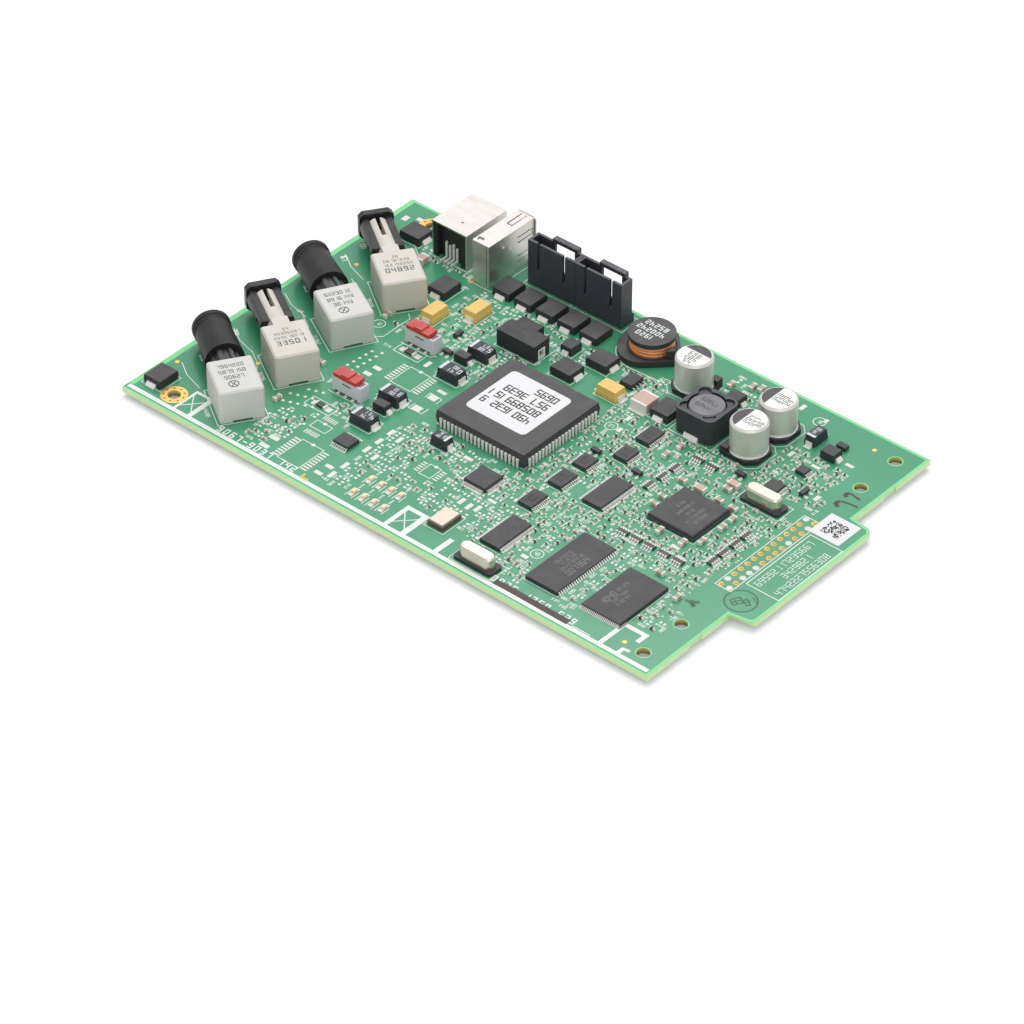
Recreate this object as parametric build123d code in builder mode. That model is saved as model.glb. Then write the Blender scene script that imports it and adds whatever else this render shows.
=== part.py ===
from build123d import *
import os
from math import cos, hypot, radians, sin

# Fibre-optic network controller card: a populated circuit board, in millimetres.
# The frame stands on the first mounting hole at the board's underside, +Z up, +X along the long edge.
# Places on the board are measured from its left corner, along the long edge (x) and the short edge (y).

os.makedirs("parts", exist_ok=True)

# Board blank
board_length = 173.5
board_width = 110.5
board_thickness = 1.6
tab_reach = 6.7
tab_start = 31.4
tab_end = 78.6
tab_slant = 1.1
tab_corner_radius = 0.8
nick_places = (18.1, 94.1)
nick_length = 4.6
nick_depth = 0.35

# Mounting holes
hole_inset_x = 12.35
hole_inset_y = 6.2
hole_radius = 1.75
far_hole_x = board_length - 6.3
far_inner_hole_inset = 20.3
land_radius = 3.6
land_thickness = 0.06

# Fibre ports: the middle of each housing and the direction its barrel points, in degrees
receiver_ports = ((26.9, 13.75, 147.1), (26.3, 54.8, 151.5))
transmitter_ports = ((26.85, 34.0, 149.1), (26.55, 75.6, 145.7))
port_width = 11.8
port_depth = 14.4
port_height = 9.4
port_edge = 0.45
port_slot_width = 5.2
port_slot_height = 0.5
port_slot_depth = 1.2
barrel_axis_height = 5.5
barrel_radius = 3.1
barrel_length = 16.4
ferrule_bore_radius = 1.3
ferrule_bore_depth = 9.0
key_slot_width = 1.25
key_slot_length = 8.0
nose_length = 3.2
nose_width = 7.4
nose_key_width = 4.4
nose_margin = 0.2
rib_count = 8
rib_width = 1.1
rib_radius = 3.85
rib_length = 9.0

# Rubber dust caps on the receivers
round_cap_start = 4.3
round_cap_length = 15.9
round_cap_mouth_radius = 5.3
round_cap_waist_radius = 4.75
round_cap_ring_radius = 5.0
round_cap_head_radius = 5.1
round_cap_grip = 0.08
round_cap_end_thickness = 1.6
round_cap_groove_width = 0.9
round_cap_ring_width = 0.9
round_cap_head_width = 1.1
round_cap_edge = 0.5

# Clip-on dust caps on the transmitters
clip_plate_width = 9.4
clip_plate_height = 7.8
clip_plate_thickness = 2.0
clip_plate_corner = 1.1
clip_plate_gap = 0.9
clip_arm_gap = 0.25
clip_arm_thickness = 1.25
clip_arm_height = 5.0
clip_arm_length = 13.8
clip_hole_length = 1.4
clip_hole_height = 1.0
clip_hole_from_tip = 3.6
clip_tip_chamfer = 0.8

# Through-hole tails under the board
tail_length = 1.2
tail_width = 1.1
tail_pitch = 2.54
port_tail_rows = 7.62
port_tails_per_row = 4

# Slide switches: near corner of each body
switch_corners = ((41.0, 34.3), (41.3, 61.6))
switch_length = 9.8
switch_width = 3.2
switch_height = 4.6
switch_slot_length = 2.9
switch_slot_height = 0.45
switch_slot_level = 3.3
switch_slot_depth = 0.3
switch_groove_depth = 0.8
switch_wall = 0.45
slider_length = 7.7
slider_thickness = 1.1
slider_end_gap = 0.5
slider_overhang = 0.15
slider_knob_length = 2.6
slider_knob_height = 0.45
slider_clearance = 0.05
switch_lead_width = 0.6
switch_lead_pitch = 2.5
switch_lead_reach = 0.9

# Square serial socket
square_socket_x = 20.6
square_socket_y = 95.4
square_socket_width = 12.0
square_socket_depth = 16.0
square_socket_height = 10.8
square_socket_wall = 0.4
square_block_depth = 8.6
square_recess_width = 8.0
square_recess_depth = 1.3
square_tongue_width = 5.6
square_tongue_height = 3.2
square_tongue_inset = 1.5
contact_width = 0.5
contact_pitch = 1.25
contact_height = 5.2
contact_step = 0.8
contact_foot = 2.3

# Upright flat serial socket
flat_socket_x = 36.9
flat_socket_y = 92.9
flat_socket_width = 5.7
flat_socket_depth = 18.4
flat_socket_height = 13.3
flat_socket_wall = 0.35
flat_tongue_thickness = 1.8
flat_tongue_inset = 1.2
flat_block_depth = 8.0
spring_length = 6.0
spring_cut = 0.35
spring_width = 2.0
spring_levels = (3.7, 9.6)
lip_flare = 0.45
lip_thickness = 0.4

# Upright latching pin headers
header_starts = (48.2, 64.15)
header_y = 101.9
header_length = 15.8
header_depth = 4.3
header_height = 13.8
header_wall = 0.75
header_floor = 3.4
header_skirt_depth = 5.2
header_skirt_height = 3.0
header_skirt_bevel = 0.8
header_slot_width = 0.8
header_slot_places = (3.5, 12.2)
header_slot_bottom = 5.2
latch_start = 5.4
latch_length = 8.4
latch_bottom = 5.0
latch_bar = 0.9
latch_rise = 0.9
header_pin_width = 0.64
header_pin_top = 10.5
header_pins = 4

# Large square processor carrier with J leads
processor_x = 70.4
processor_y = 40.8
processor_size = 29.3
processor_bottom = 0.5
processor_parting = 2.5
processor_top = 4.4
processor_draft = 7.0
processor_corner_chamfer = 1.2
j_lead_pitch = 1.27
j_leads_per_side = 21
j_lead_shoulder = 0.8
j_lead_foot = 0.45
j_lead_thickness = 0.4
j_lead_top = 2.7
label_size = (19.7, 19.2)
label_offset = (-0.7, 1.1)
label_radius = 1.4
label_thickness = 0.08

# Flat chips: x, y of the low corner, length along x, length along y
memory_place = (127.8, 8.8)
memory_size = (10.16, 22.22)
memory_leads_per_side = 27
memory_pitch = 0.8
memory_lead_width = 0.36
flash_place = (145.0, 9.5)
flash_size = (12.0, 18.4)
flash_leads_per_side = 24
flash_pitch = 0.5
flash_lead_width = 0.22
thin_chip_top = 1.15
thin_chip_bottom = 0.15
gull_reach = 0.8
gull_foot = 0.45
gull_thickness = 0.14
controller_place = (134.7, 46.05)
controller_size = 15.0
controller_ball_inset = 1.6
controller_bottom = 0.4
controller_carrier = 0.4
controller_margin = 0.35
controller_top = 1.65
controller_chamfer = 0.3
bus_chips = ((118.7, 40.7), (110.1, 12.3))
bus_chip_size = (6.1, 12.5)
logic_chips = (
    (107.3, 29.6, 4.4, 6.5),
    (107.6, 40.6, 4.4, 6.5),
    (107.4, 50.2, 4.4, 5.2),
    (113.0, 59.3, 4.4, 5.2),
    (112.8, 68.2, 4.4, 6.5),
    (56.4, 17.8, 5.0, 4.4),
    (149.2, 73.9, 4.2, 4.0),
    (151.2, 84.2, 2.9, 2.8),
    (152.6, 98.9, 2.9, 1.8),
)
logic_chip_top = 1.2
quad_chip_place = (91.6, 27.4)
quad_chip_size = 7.0
quad_chip_top = 1.5
driver_place = (94.9, 83.5)
driver_size = (3.9, 4.9)
driver_top = 1.6

# Drum coil on its base, turned half a right angle
coil_x = 91.9
coil_y = 100.0
coil_turn = 45.0
coil_base_length = 16.3
coil_base_width = 14.4
coil_base_corner = 6.4
coil_base_bevel = 2.5
coil_base_shift = 0.85
coil_base_height = 1.8
coil_recess_depth = 0.8
coil_recess_radius = 6.5
coil_disc_radius = 6.25
coil_disc_thickness = 1.3
coil_top = 6.3
coil_foot_thickness = 0.8
coil_hub_radius = 2.6
coil_wire_radius = 5.7
coil_tower_length = 2.4
coil_tower_width = 2.2
coil_tower_height = 4.4
coil_tower_place = (4.2, -5.3)

# Shielded square inductor
shield_x = 122.8
shield_y = 84.3
shield_size = 12.2
shield_height = 7.3
shield_corner_radius = 2.2
shield_edge = 0.3
shield_bore_radius = 5.1
shield_core_radius = 4.7
shield_core_inset = 0.15
shield_floor = 3.5
shield_pocket_radius = 1.7
shield_pocket_reach = 5.35
shield_pocket_depth = 0.7
shield_terminal_width = 4.4
shield_terminal_height = 1.1

# Electrolytic capacitors: middle x and y, and the turn of the bevelled side
can_places = ((109.85, 95.0, -90.0), (137.1, 95.0, 0.0), (137.15, 83.3, 0.0))
can_radius = 5.0
can_top = 10.2
can_seat = 1.3
can_rim_height = 0.8
can_groove = 0.25
can_shoulder = 0.6
can_base_size = 10.4
can_base_chamfer = 2.4
can_post_size = 2.2
can_post_height = 1.4
can_post_gap = 0.1

# Moulded tantalum capacitors: middle x and y, length along x, length along y
yellow_tantalums = ((39.9, 74.6, 4.3, 6.6), (47.9, 82.4, 4.3, 6.6), (95.9, 78.9, 6.6, 4.3))
black_tantalums = (
    (55.6, 41.0, 6.6, 4.3),
    (56.7, 29.2, 6.6, 4.3),
    (60.6, 57.9, 6.6, 4.3),
    (60.4, 69.8, 6.6, 4.3),
    (77.4, 35.3, 5.2, 3.2),
    (147.0, 98.0, 3.2, 5.6),
)
tantalum_top = 2.9
tantalum_parting = 1.3
tantalum_step = 0.12
tantalum_draft = 6.0
tantalum_terminal_reach = 0.35
tantalum_terminal_height = 1.3
terminal_width_share = 0.6

# Moulded surge diodes: middle x and y, and the direction of the banded end
surge_diodes = (
    (5.5, 8.6, -90.0),
    (12.6, 97.9, 0.0),
    (34.4, 84.6, -90.0),
    (47.5, 95.2, -90.0),
    (54.9, 95.2, -90.0),
    (62.3, 95.2, -90.0),
    (69.7, 95.2, -90.0),
    (77.1, 95.2, -90.0),
    (81.7, 78.4, 0.0),
    (86.2, 87.2, 0.0),
    (111.8, 82.0, -90.0),
)
diode_length = 6.8
diode_width = 5.8
diode_height = 2.4
small_diodes = ((76.1, 86.6, -90.0), (121.9, 97.2, 0.0), (154.1, 95.0, 0.0))
small_diode_length = 4.3
small_diode_width = 3.7
rectifiers = ((56.5, 36.0, 0.0), (58.3, 64.9, 0.0))
rectifier_length = 4.1
rectifier_width = 2.8
diode_base = 0.1
diode_parting = 1.1
diode_draft = 6.0
tab_width_share = 0.52
tab_thickness = 0.55
tab_solder_reach = 1.0

# Surface-mount fuse block, a T seen from above
fuse_x = 59.9
fuse_y = 76.1
fuse_length = 12.7
fuse_width = 5.9
fuse_height = 5.0
fuse_bump_start = 1.6
fuse_bump_length = 7.0
fuse_bump_width = 2.8
fuse_clip_inset = 1.6
fuse_clip_height = 3.2
fuse_clip_depth = 0.9

# Crystals and the clock oscillator
crystals = ((153.2, 69.4, 0.0), (115.2, 5.8, 0.0))
crystal_base_length = 12.2
crystal_base_width = 4.9
crystal_base_height = 0.8
crystal_base_corner = 0.6
crystal_can_length = 10.4
crystal_can_width = 3.7
crystal_can_height = 3.3
crystal_edge = 0.45
oscillator_place = (95.8, 9.1)
oscillator_size = (5.0, 7.0)
oscillator_body_height = 1.2
oscillator_lid_margin = 0.35
oscillator_lid_height = 0.5

# Ceramic capacitors: middle x and y, length along x, length along y, height
ceramic_capacitors = (
    (105.4, 80.9, 5.0, 5.4, 2.6),
    (21.3, 90.6, 2.5, 3.2, 1.8),
    (138.0, 63.2, 3.2, 1.9, 1.3),
    (143.3, 70.0, 3.2, 1.9, 1.3),
)

# Resistor networks and single resistors: middle x and y, and turn in degrees
resistor_arrays = (
    (134.2, 38.0, 0.0),
    (138.4, 38.0, 0.0),
    (142.6, 38.0, 0.0),
    (147.2, 38.0, 0.0),
    (151.6, 38.0, 0.0),
    (158.0, 43.7, 90.0),
    (158.0, 47.7, 90.0),
    (158.0, 52.3, 90.0),
    (158.0, 56.6, 90.0),
)
array_length = 3.2
array_width = 1.6
single_resistors = ((45.6, 58.7, 0.0), (43.7, 27.2, 0.0))
resistor_length = 3.2
resistor_width = 1.6
resistor_height = 0.6

# Paper sticker on the tab
sticker_x = board_length + tab_reach - 7.5
sticker_y = 72.9
sticker_size = 9.2


def on_board(x, y, height=0.0, turn=0.0):
    """Level plane at a place on the board, its x axis turned by an angle in degrees."""
    return Plane(
        origin=(x - hole_inset_x, y - hole_inset_y, board_thickness + height),
        x_dir=(cos(radians(turn)), sin(radians(turn)), 0),
        z_dir=(0, 0, 1),
    )


def upright(x, y, height=0.0, turn=0.0):
    """Standing plane at a place on the board: its x runs level, its y runs up."""
    level = on_board(x, y, height, turn)
    return Plane(origin=level.origin, x_dir=level.x_dir, z_dir=-level.y_dir)


def write_part(piece, label):
    """Label a finished piece and write its file."""
    piece.label = label
    export_step(piece, f"parts/{label}.step")


def grouped(pieces):
    """Several separate pieces as one group."""
    with BuildPart() as group:
        add(pieces)
    return group.part


def spread(count, pitch):
    """Places of a centred row."""
    return [(index - (count - 1) / 2) * pitch for index in range(count)]


# Circuit board with its break-out nicks, mounting holes and label tab
mounting_holes = (
    (hole_inset_x, hole_inset_y),
    (hole_inset_x, board_width - hole_inset_y),
    (far_hole_x, hole_inset_y),
    (far_hole_x, far_inner_hole_inset),
    (far_hole_x, board_width - far_inner_hole_inset),
    (far_hole_x, board_width - hole_inset_y),
)

with BuildPart() as circuit_board:
    with BuildSketch(on_board(0, 0)):
        with BuildLine():
            Polyline(
                (0, 0),
                (board_length, 0),
                (board_length, tab_start),
                (board_length + tab_reach, tab_start + tab_slant),
                (board_length + tab_reach, tab_end - tab_slant),
                (board_length, tab_end),
                (board_length, board_width),
                (0, board_width),
                close=True,
            )
        make_face()
        fillet(vertices().group_by(Axis.X)[-1], tab_corner_radius)
        with Locations(*mounting_holes):
            Circle(hole_radius, mode=Mode.SUBTRACT)
        with Locations(*[(board_length, nick_y) for nick_y in nick_places]):
            Rectangle(2 * nick_depth, nick_length, mode=Mode.SUBTRACT)
    extrude(amount=-board_thickness)
write_part(circuit_board.part, "circuit_board")

# Gold lands round the two grounded mounting holes
with BuildPart() as hole_lands:
    for land_x, land_y in mounting_holes[:2]:
        with BuildSketch(on_board(land_x, land_y)):
            Circle(land_radius)
            Circle(hole_radius, mode=Mode.SUBTRACT)
        extrude(amount=land_thickness)
write_part(hole_lands.part, "hole_lands")


def barrel_plane(port, along):
    """Plane square to a port's barrel, facing away from the housing, with y up."""
    x, y, yaw = port
    level = on_board(x, y, barrel_axis_height, yaw)
    origin = level.from_local_coords((port_depth / 2 + along, 0, 0))
    return Plane(origin=origin, x_dir=level.y_dir, z_dir=level.x_dir)


def barrel_section(port):
    """Plane through a port's barrel axis: x runs along the axis, y runs up."""
    x, y, yaw = port
    level = on_board(x, y, barrel_axis_height, yaw)
    origin = level.from_local_coords((port_depth / 2, 0, 0))
    return Plane(origin=origin, x_dir=level.x_dir, z_dir=-level.y_dir)


def port_housing(port):
    """Moulded port body with softened edges and a vent slot low on its blind side."""
    x, y, yaw = port
    with BuildPart() as housing:
        with BuildSketch(on_board(x, y, 0, yaw)):
            Rectangle(port_depth, port_width)
        extrude(amount=port_height)
        chamfer(edges().filter_by(Axis.Z) + edges().group_by(Axis.Z)[-1], port_edge)
        with BuildSketch(on_board(x, y, 0, yaw)):
            with Locations((-port_depth / 2, 0)):
                Rectangle(2 * port_slot_depth, port_slot_width)
        extrude(amount=port_slot_height, mode=Mode.SUBTRACT)
    return housing.part


def bored_barrel(port):
    """Round barrel with its ferrule bore and, along the top, its key slot."""
    with BuildPart() as barrel:
        with BuildSketch(barrel_plane(port, 0)):
            Circle(barrel_radius)
        extrude(amount=barrel_length)
        with BuildSketch(barrel_plane(port, barrel_length)):
            Circle(ferrule_bore_radius)
        extrude(amount=-ferrule_bore_depth, mode=Mode.SUBTRACT)
        with BuildSketch(barrel_plane(port, barrel_length)):
            with Locations((0, barrel_radius)):
                Rectangle(key_slot_width, 2 * barrel_radius - ferrule_bore_radius)
        extrude(amount=-key_slot_length, mode=Mode.SUBTRACT)
    return barrel.part


for number, port in enumerate(receiver_ports, start=1):
    write_part(port_housing(port), f"receiver_housing_{number}")
    plain_barrel = bored_barrel(port)
    with BuildPart() as receiver_barrel:
        add(plain_barrel)
        with BuildSketch(barrel_plane(port, 0)):
            with PolarLocations(barrel_radius, rib_count, start_angle=180 / rib_count):
                Rectangle(2 * (rib_radius - barrel_radius), rib_width)
        extrude(amount=rib_length)
    write_part(receiver_barrel.part, f"receiver_barrel_{number}")

for number, port in enumerate(transmitter_ports, start=1):
    plain_housing = port_housing(port)
    plain_barrel = bored_barrel(port)
    with BuildPart() as transmitter_housing:
        add(plain_housing)
        add(plain_barrel)
        with BuildSketch(barrel_plane(port, 0)):
            Rectangle(nose_key_width, 2 * (barrel_radius + nose_margin))
            with Locations((0, -barrel_radius / 2)):
                Rectangle(nose_width, barrel_radius + nose_margin)
        extrude(amount=nose_length)
    write_part(transmitter_housing.part, f"transmitter_housing_{number}")

# Round rubber caps: a tapered cup with two grip grooves near its closed end
round_cap_end = round_cap_start + round_cap_length
round_cap_bore = hypot(rib_radius, rib_width / 2) + round_cap_grip


def round_cap_outline():
    """Half section of the cap as distance and radius, from the mouth round to the closed end."""
    head_start = round_cap_end - round_cap_edge - round_cap_head_width
    ring_end = head_start - round_cap_groove_width / 2
    ring_start = ring_end - round_cap_ring_width
    waist = ring_start - round_cap_groove_width / 2
    return (
        (round_cap_start, round_cap_bore),
        (round_cap_start, round_cap_mouth_radius),
        (waist, round_cap_waist_radius),
        (ring_start, round_cap_ring_radius),
        (ring_end, round_cap_waist_radius),
        (head_start, round_cap_head_radius),
        (round_cap_end - round_cap_edge, round_cap_head_radius),
        (round_cap_end, round_cap_head_radius - round_cap_edge),
        (round_cap_end, 0),
        (round_cap_end - round_cap_end_thickness, 0),
        (round_cap_end - round_cap_end_thickness, round_cap_bore),
    )


for number, port in enumerate(receiver_ports, start=1):
    section = barrel_section(port)
    with BuildPart() as round_dust_cap:
        with BuildSketch(section):
            with BuildLine():
                Polyline(*round_cap_outline(), close=True)
            make_face()
        revolve(axis=Axis(section.origin, section.x_dir))
    write_part(round_dust_cap.part, f"round_dust_cap_{number}")

# Clip caps: an end plate with two curved arms that hug the barrel
clip_plate_start = barrel_length + clip_plate_gap
clip_arm_inner = barrel_radius + clip_arm_gap
clip_arm_start = clip_plate_start - clip_arm_length

for number, port in enumerate(transmitter_ports, start=1):
    with BuildPart() as clip_dust_cap:
        with BuildSketch(barrel_plane(port, clip_plate_start)):
            Rectangle(clip_plate_width, clip_plate_height)
            chamfer(vertices(), clip_plate_corner)
        extrude(amount=clip_plate_thickness)
        with BuildSketch(barrel_plane(port, clip_arm_start)):
            Circle(clip_arm_inner + clip_arm_thickness)
            Circle(clip_arm_inner, mode=Mode.SUBTRACT)
            Rectangle(2 * clip_plate_width, clip_arm_height, mode=Mode.INTERSECT)
        extrude(amount=clip_arm_length)
        tip_plane = barrel_plane(port, clip_arm_start)
        with BuildSketch(tip_plane):
            for side in (-1, 1):
                with Locations((side * (clip_arm_inner + clip_arm_thickness), 0)):
                    Rectangle(clip_arm_thickness, clip_arm_height)
        extrude(amount=clip_tip_chamfer, mode=Mode.SUBTRACT)
        with BuildSketch(barrel_plane(port, clip_arm_start + clip_hole_from_tip)):
            Rectangle(2 * clip_plate_width, clip_hole_height)
        extrude(amount=clip_hole_length, mode=Mode.SUBTRACT)
    write_part(clip_dust_cap.part, f"clip_dust_cap_{number}")

# Slide switches: a grooved grey body and a red slider that runs in it
switch_top_slot = switch_width - 2 * switch_wall

for number, corner in enumerate(switch_corners, start=1):
    middle_x = corner[0] + switch_length / 2
    middle_y = corner[1] + switch_width / 2
    with BuildPart() as switch_housing:
        with BuildSketch(on_board(middle_x, middle_y)):
            Rectangle(switch_length, switch_width)
        extrude(amount=switch_height)
        with BuildSketch(on_board(middle_x, middle_y, switch_height)):
            Rectangle(switch_length - 2 * switch_wall, switch_top_slot)
        extrude(amount=-switch_groove_depth, mode=Mode.SUBTRACT)
        with BuildSketch(upright(middle_x, corner[1], switch_slot_level)):
            Rectangle(switch_slot_length, switch_slot_height)
        extrude(amount=-switch_slot_depth, mode=Mode.SUBTRACT)
    write_part(switch_housing.part, f"switch_housing_{number}")

    with BuildPart() as switch_slider:
        slider_middle = corner[0] + slider_end_gap + slider_length / 2
        with BuildSketch(on_board(slider_middle, middle_y, switch_height + slider_clearance)):
            Rectangle(slider_length, switch_width + 2 * slider_overhang)
        extrude(amount=slider_thickness)
        with BuildSketch(on_board(slider_middle, middle_y, switch_height + slider_clearance)):
            Rectangle(slider_knob_length, switch_width)
        extrude(amount=slider_thickness + slider_knob_height)
        keel_room = switch_length - 2 * switch_wall
        keel_start = corner[0] + switch_wall + slider_clearance
        travel = switch_length - slider_length - slider_end_gap
        keel_length = keel_room - travel - 2 * slider_clearance
        with BuildSketch(on_board(keel_start + keel_length / 2, middle_y, switch_height + slider_clearance)):
            Rectangle(keel_length, switch_top_slot - 2 * slider_clearance)
        extrude(amount=-(switch_groove_depth - slider_clearance))
    write_part(switch_slider.part, f"switch_slider_{number}")

with BuildPart() as switch_terminals:
    for corner in switch_corners:
        middle_x = corner[0] + switch_length / 2
        for side, edge_y in ((-1, corner[1]), (1, corner[1] + switch_width)):
            for offset in spread(3, switch_lead_pitch):
                with BuildSketch(on_board(middle_x + offset, edge_y + side * switch_lead_reach / 2)):
                    Rectangle(switch_lead_width, switch_lead_reach)
                extrude(amount=tantalum_terminal_reach)
write_part(switch_terminals.part, "switch_terminals")

# Square serial socket: folded shell, black block with a tongue, and four bent contacts
square_middle_x = square_socket_x + square_socket_width / 2
square_inside_width = square_socket_width - 2 * square_socket_wall
square_inside_height = square_socket_height - square_socket_wall

with BuildPart() as square_socket_shell:
    with BuildSketch(upright(square_middle_x, square_socket_y)):
        with Locations((0, square_socket_height / 2)):
            Rectangle(square_socket_width, square_socket_height)
        with Locations((0, square_inside_height / 2)):
            Rectangle(square_inside_width, square_inside_height, mode=Mode.SUBTRACT)
    extrude(amount=-square_socket_depth)
    with BuildSketch(upright(square_middle_x, square_socket_y + square_block_depth)):
        with Locations((0, square_socket_wall / 2)):
            Rectangle(square_inside_width, square_socket_wall)
    extrude(amount=-(square_socket_depth - square_block_depth))
write_part(square_socket_shell.part, "square_socket_shell")

with BuildPart() as square_socket_block:
    with BuildSketch(upright(square_middle_x, square_socket_y)):
        with Locations((0, square_inside_height / 2)):
            Rectangle(square_inside_width, square_inside_height)
    extrude(amount=-square_block_depth)
    with BuildSketch(upright(square_middle_x, square_socket_y)):
        with Locations((0, square_inside_height / 2)):
            Rectangle(square_recess_width, square_inside_height)
    extrude(amount=-square_recess_depth, mode=Mode.SUBTRACT)
    with BuildSketch(upright(square_middle_x, square_socket_y + square_block_depth)):
        with Locations((0, square_socket_height / 2)):
            Rectangle(square_tongue_width, square_tongue_height)
    extrude(amount=-(square_socket_depth - square_block_depth - square_tongue_inset))
write_part(square_socket_block.part, "square_socket_block")


def bent_contact(x, y, height):
    """Upright contact with a foot bent towards the near edge of the board."""
    with BuildPart() as contact:
        with BuildSketch(upright(x, y)):
            with Locations((0, height / 2)):
                Rectangle(contact_width, height)
        extrude(amount=-contact_width)
        with BuildSketch(on_board(x, y - contact_foot / 2)):
            Rectangle(contact_width, contact_foot)
        extrude(amount=contact_width)
    return contact.part


contact_y = square_socket_y + square_recess_depth - contact_width
square_contacts = [
    bent_contact(square_middle_x + offset, contact_y, contact_height - contact_step * (index % 2))
    for index, offset in enumerate(spread(4, contact_pitch))
]
write_part(grouped(square_contacts), "square_socket_contacts")

# Upright flat serial socket: shell with spring cuts and flared lips, block with a tongue
flat_middle_x = flat_socket_x + flat_socket_width / 2
flat_end_y = flat_socket_y + flat_socket_depth
flat_inside_width = flat_socket_width - 2 * flat_socket_wall
flat_inside_height = flat_socket_height - 2 * flat_socket_wall

with BuildPart() as flat_socket_shell:
    with BuildSketch(upright(flat_middle_x, flat_socket_y)):
        with Locations((0, flat_socket_height / 2)):
            Rectangle(flat_socket_width, flat_socket_height)
    extrude(amount=-flat_socket_depth)
    with BuildSketch(upright(flat_middle_x, flat_end_y - lip_thickness)):
        with Locations((0, flat_socket_height / 2)):
            Rectangle(flat_socket_width + 2 * lip_flare, flat_socket_height - 2 * lip_flare)
            Rectangle(flat_socket_width - 2 * lip_flare, flat_socket_height + lip_flare)
    extrude(amount=-lip_thickness)
    with BuildSketch(upright(flat_middle_x, flat_end_y)):
        with Locations((0, flat_socket_height / 2)):
            Rectangle(flat_inside_width, flat_inside_height)
    extrude(amount=flat_socket_depth - flat_socket_wall, mode=Mode.SUBTRACT)
    spring_y = flat_end_y - lip_thickness - spring_length / 2 - spring_cut * 2
    with BuildSketch(on_board(flat_middle_x, spring_y, flat_socket_height)):
        Rectangle(spring_width, spring_length)
        with Locations((0, spring_cut)):
            Rectangle(spring_width - 2 * spring_cut, spring_length, mode=Mode.SUBTRACT)
    extrude(amount=-flat_socket_wall, mode=Mode.SUBTRACT)
    for spring_height in spring_levels:
        side_plane = upright(flat_socket_x + flat_socket_width, spring_y, spring_height, 90.0)
        with BuildSketch(side_plane):
            Rectangle(spring_length, spring_width)
            with Locations((-spring_cut, 0)):
                Rectangle(spring_length, spring_width - 2 * spring_cut, mode=Mode.SUBTRACT)
        extrude(amount=-flat_socket_wall, mode=Mode.SUBTRACT)
write_part(flat_socket_shell.part, "flat_socket_shell")

with BuildPart() as flat_socket_block:
    with BuildSketch(upright(flat_middle_x, flat_socket_y + flat_socket_wall)):
        with Locations((0, flat_socket_height / 2)):
            Rectangle(flat_inside_width, flat_inside_height)
    extrude(amount=-flat_block_depth)
    tongue_x = flat_socket_x + flat_socket_wall + flat_tongue_thickness / 2
    with BuildSketch(upright(tongue_x, flat_socket_y + flat_block_depth)):
        with Locations((0, flat_socket_height / 2)):
            Rectangle(flat_tongue_thickness, flat_inside_height)
    extrude(amount=-(flat_socket_depth - flat_block_depth - flat_tongue_inset))
write_part(flat_socket_block.part, "flat_socket_block")

# Upright latching headers: deep shrouds with slotted front walls and a bridged latch window behind
for number, start_x in enumerate(header_starts, start=1):
    header_middle_x = start_x + header_length / 2
    header_middle_y = header_y + header_depth / 2
    back_y = header_y + header_depth
    latch_middle = start_x + latch_start + latch_length / 2
    with BuildPart() as header_housing:
        with BuildSketch(on_board(header_middle_x, header_middle_y)):
            Rectangle(header_length, header_depth)
        extrude(amount=header_height)
        with BuildSketch(on_board(header_middle_x, header_y + header_skirt_depth / 2)):
            Rectangle(header_length, header_skirt_depth)
        extrude(amount=header_skirt_height)
        skirt_edge = edges().filter_by(Axis.X).group_by(Axis.Y)[-1].sort_by(Axis.Z)[-1]
        chamfer(skirt_edge, header_skirt_bevel)
        with BuildSketch(on_board(latch_middle, back_y - header_wall / 2 + latch_bar / 2, header_height)):
            Rectangle(latch_length, header_wall + latch_bar)
        extrude(amount=latch_rise)
        with BuildSketch(on_board(latch_middle, back_y + latch_bar / 2, header_height)):
            Rectangle(latch_length, latch_bar)
        extrude(amount=-latch_rise)
        with BuildSketch(on_board(header_middle_x, header_middle_y, header_floor)):
            Rectangle(header_length - 2 * header_wall, header_depth - 2 * header_wall)
        extrude(amount=header_height, mode=Mode.SUBTRACT)
        window_width = latch_length - 2 * latch_bar
        with BuildSketch(upright(latch_middle, back_y)):
            with Locations((0, (latch_bottom + header_height) / 2)):
                Rectangle(window_width, header_height - latch_bottom)
        extrude(amount=header_wall, mode=Mode.SUBTRACT)
        with BuildSketch(upright(start_x, header_y)):
            for slot_x in header_slot_places:
                with Locations((slot_x, (header_slot_bottom + header_height) / 2)):
                    Rectangle(header_slot_width, header_height - header_slot_bottom)
        extrude(amount=-header_wall, mode=Mode.SUBTRACT)
    write_part(header_housing.part, f"header_housing_{number}")

with BuildPart() as header_pin_group:
    for start_x in header_starts:
        for offset in spread(header_pins, tail_pitch):
            pin_plane = on_board(start_x + header_length / 2 + offset, header_y + header_depth / 2, header_floor)
            with BuildSketch(pin_plane):
                Rectangle(header_pin_width, header_pin_width)
            extrude(amount=header_pin_top - header_floor)
write_part(header_pin_group.part, "header_pins")

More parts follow.
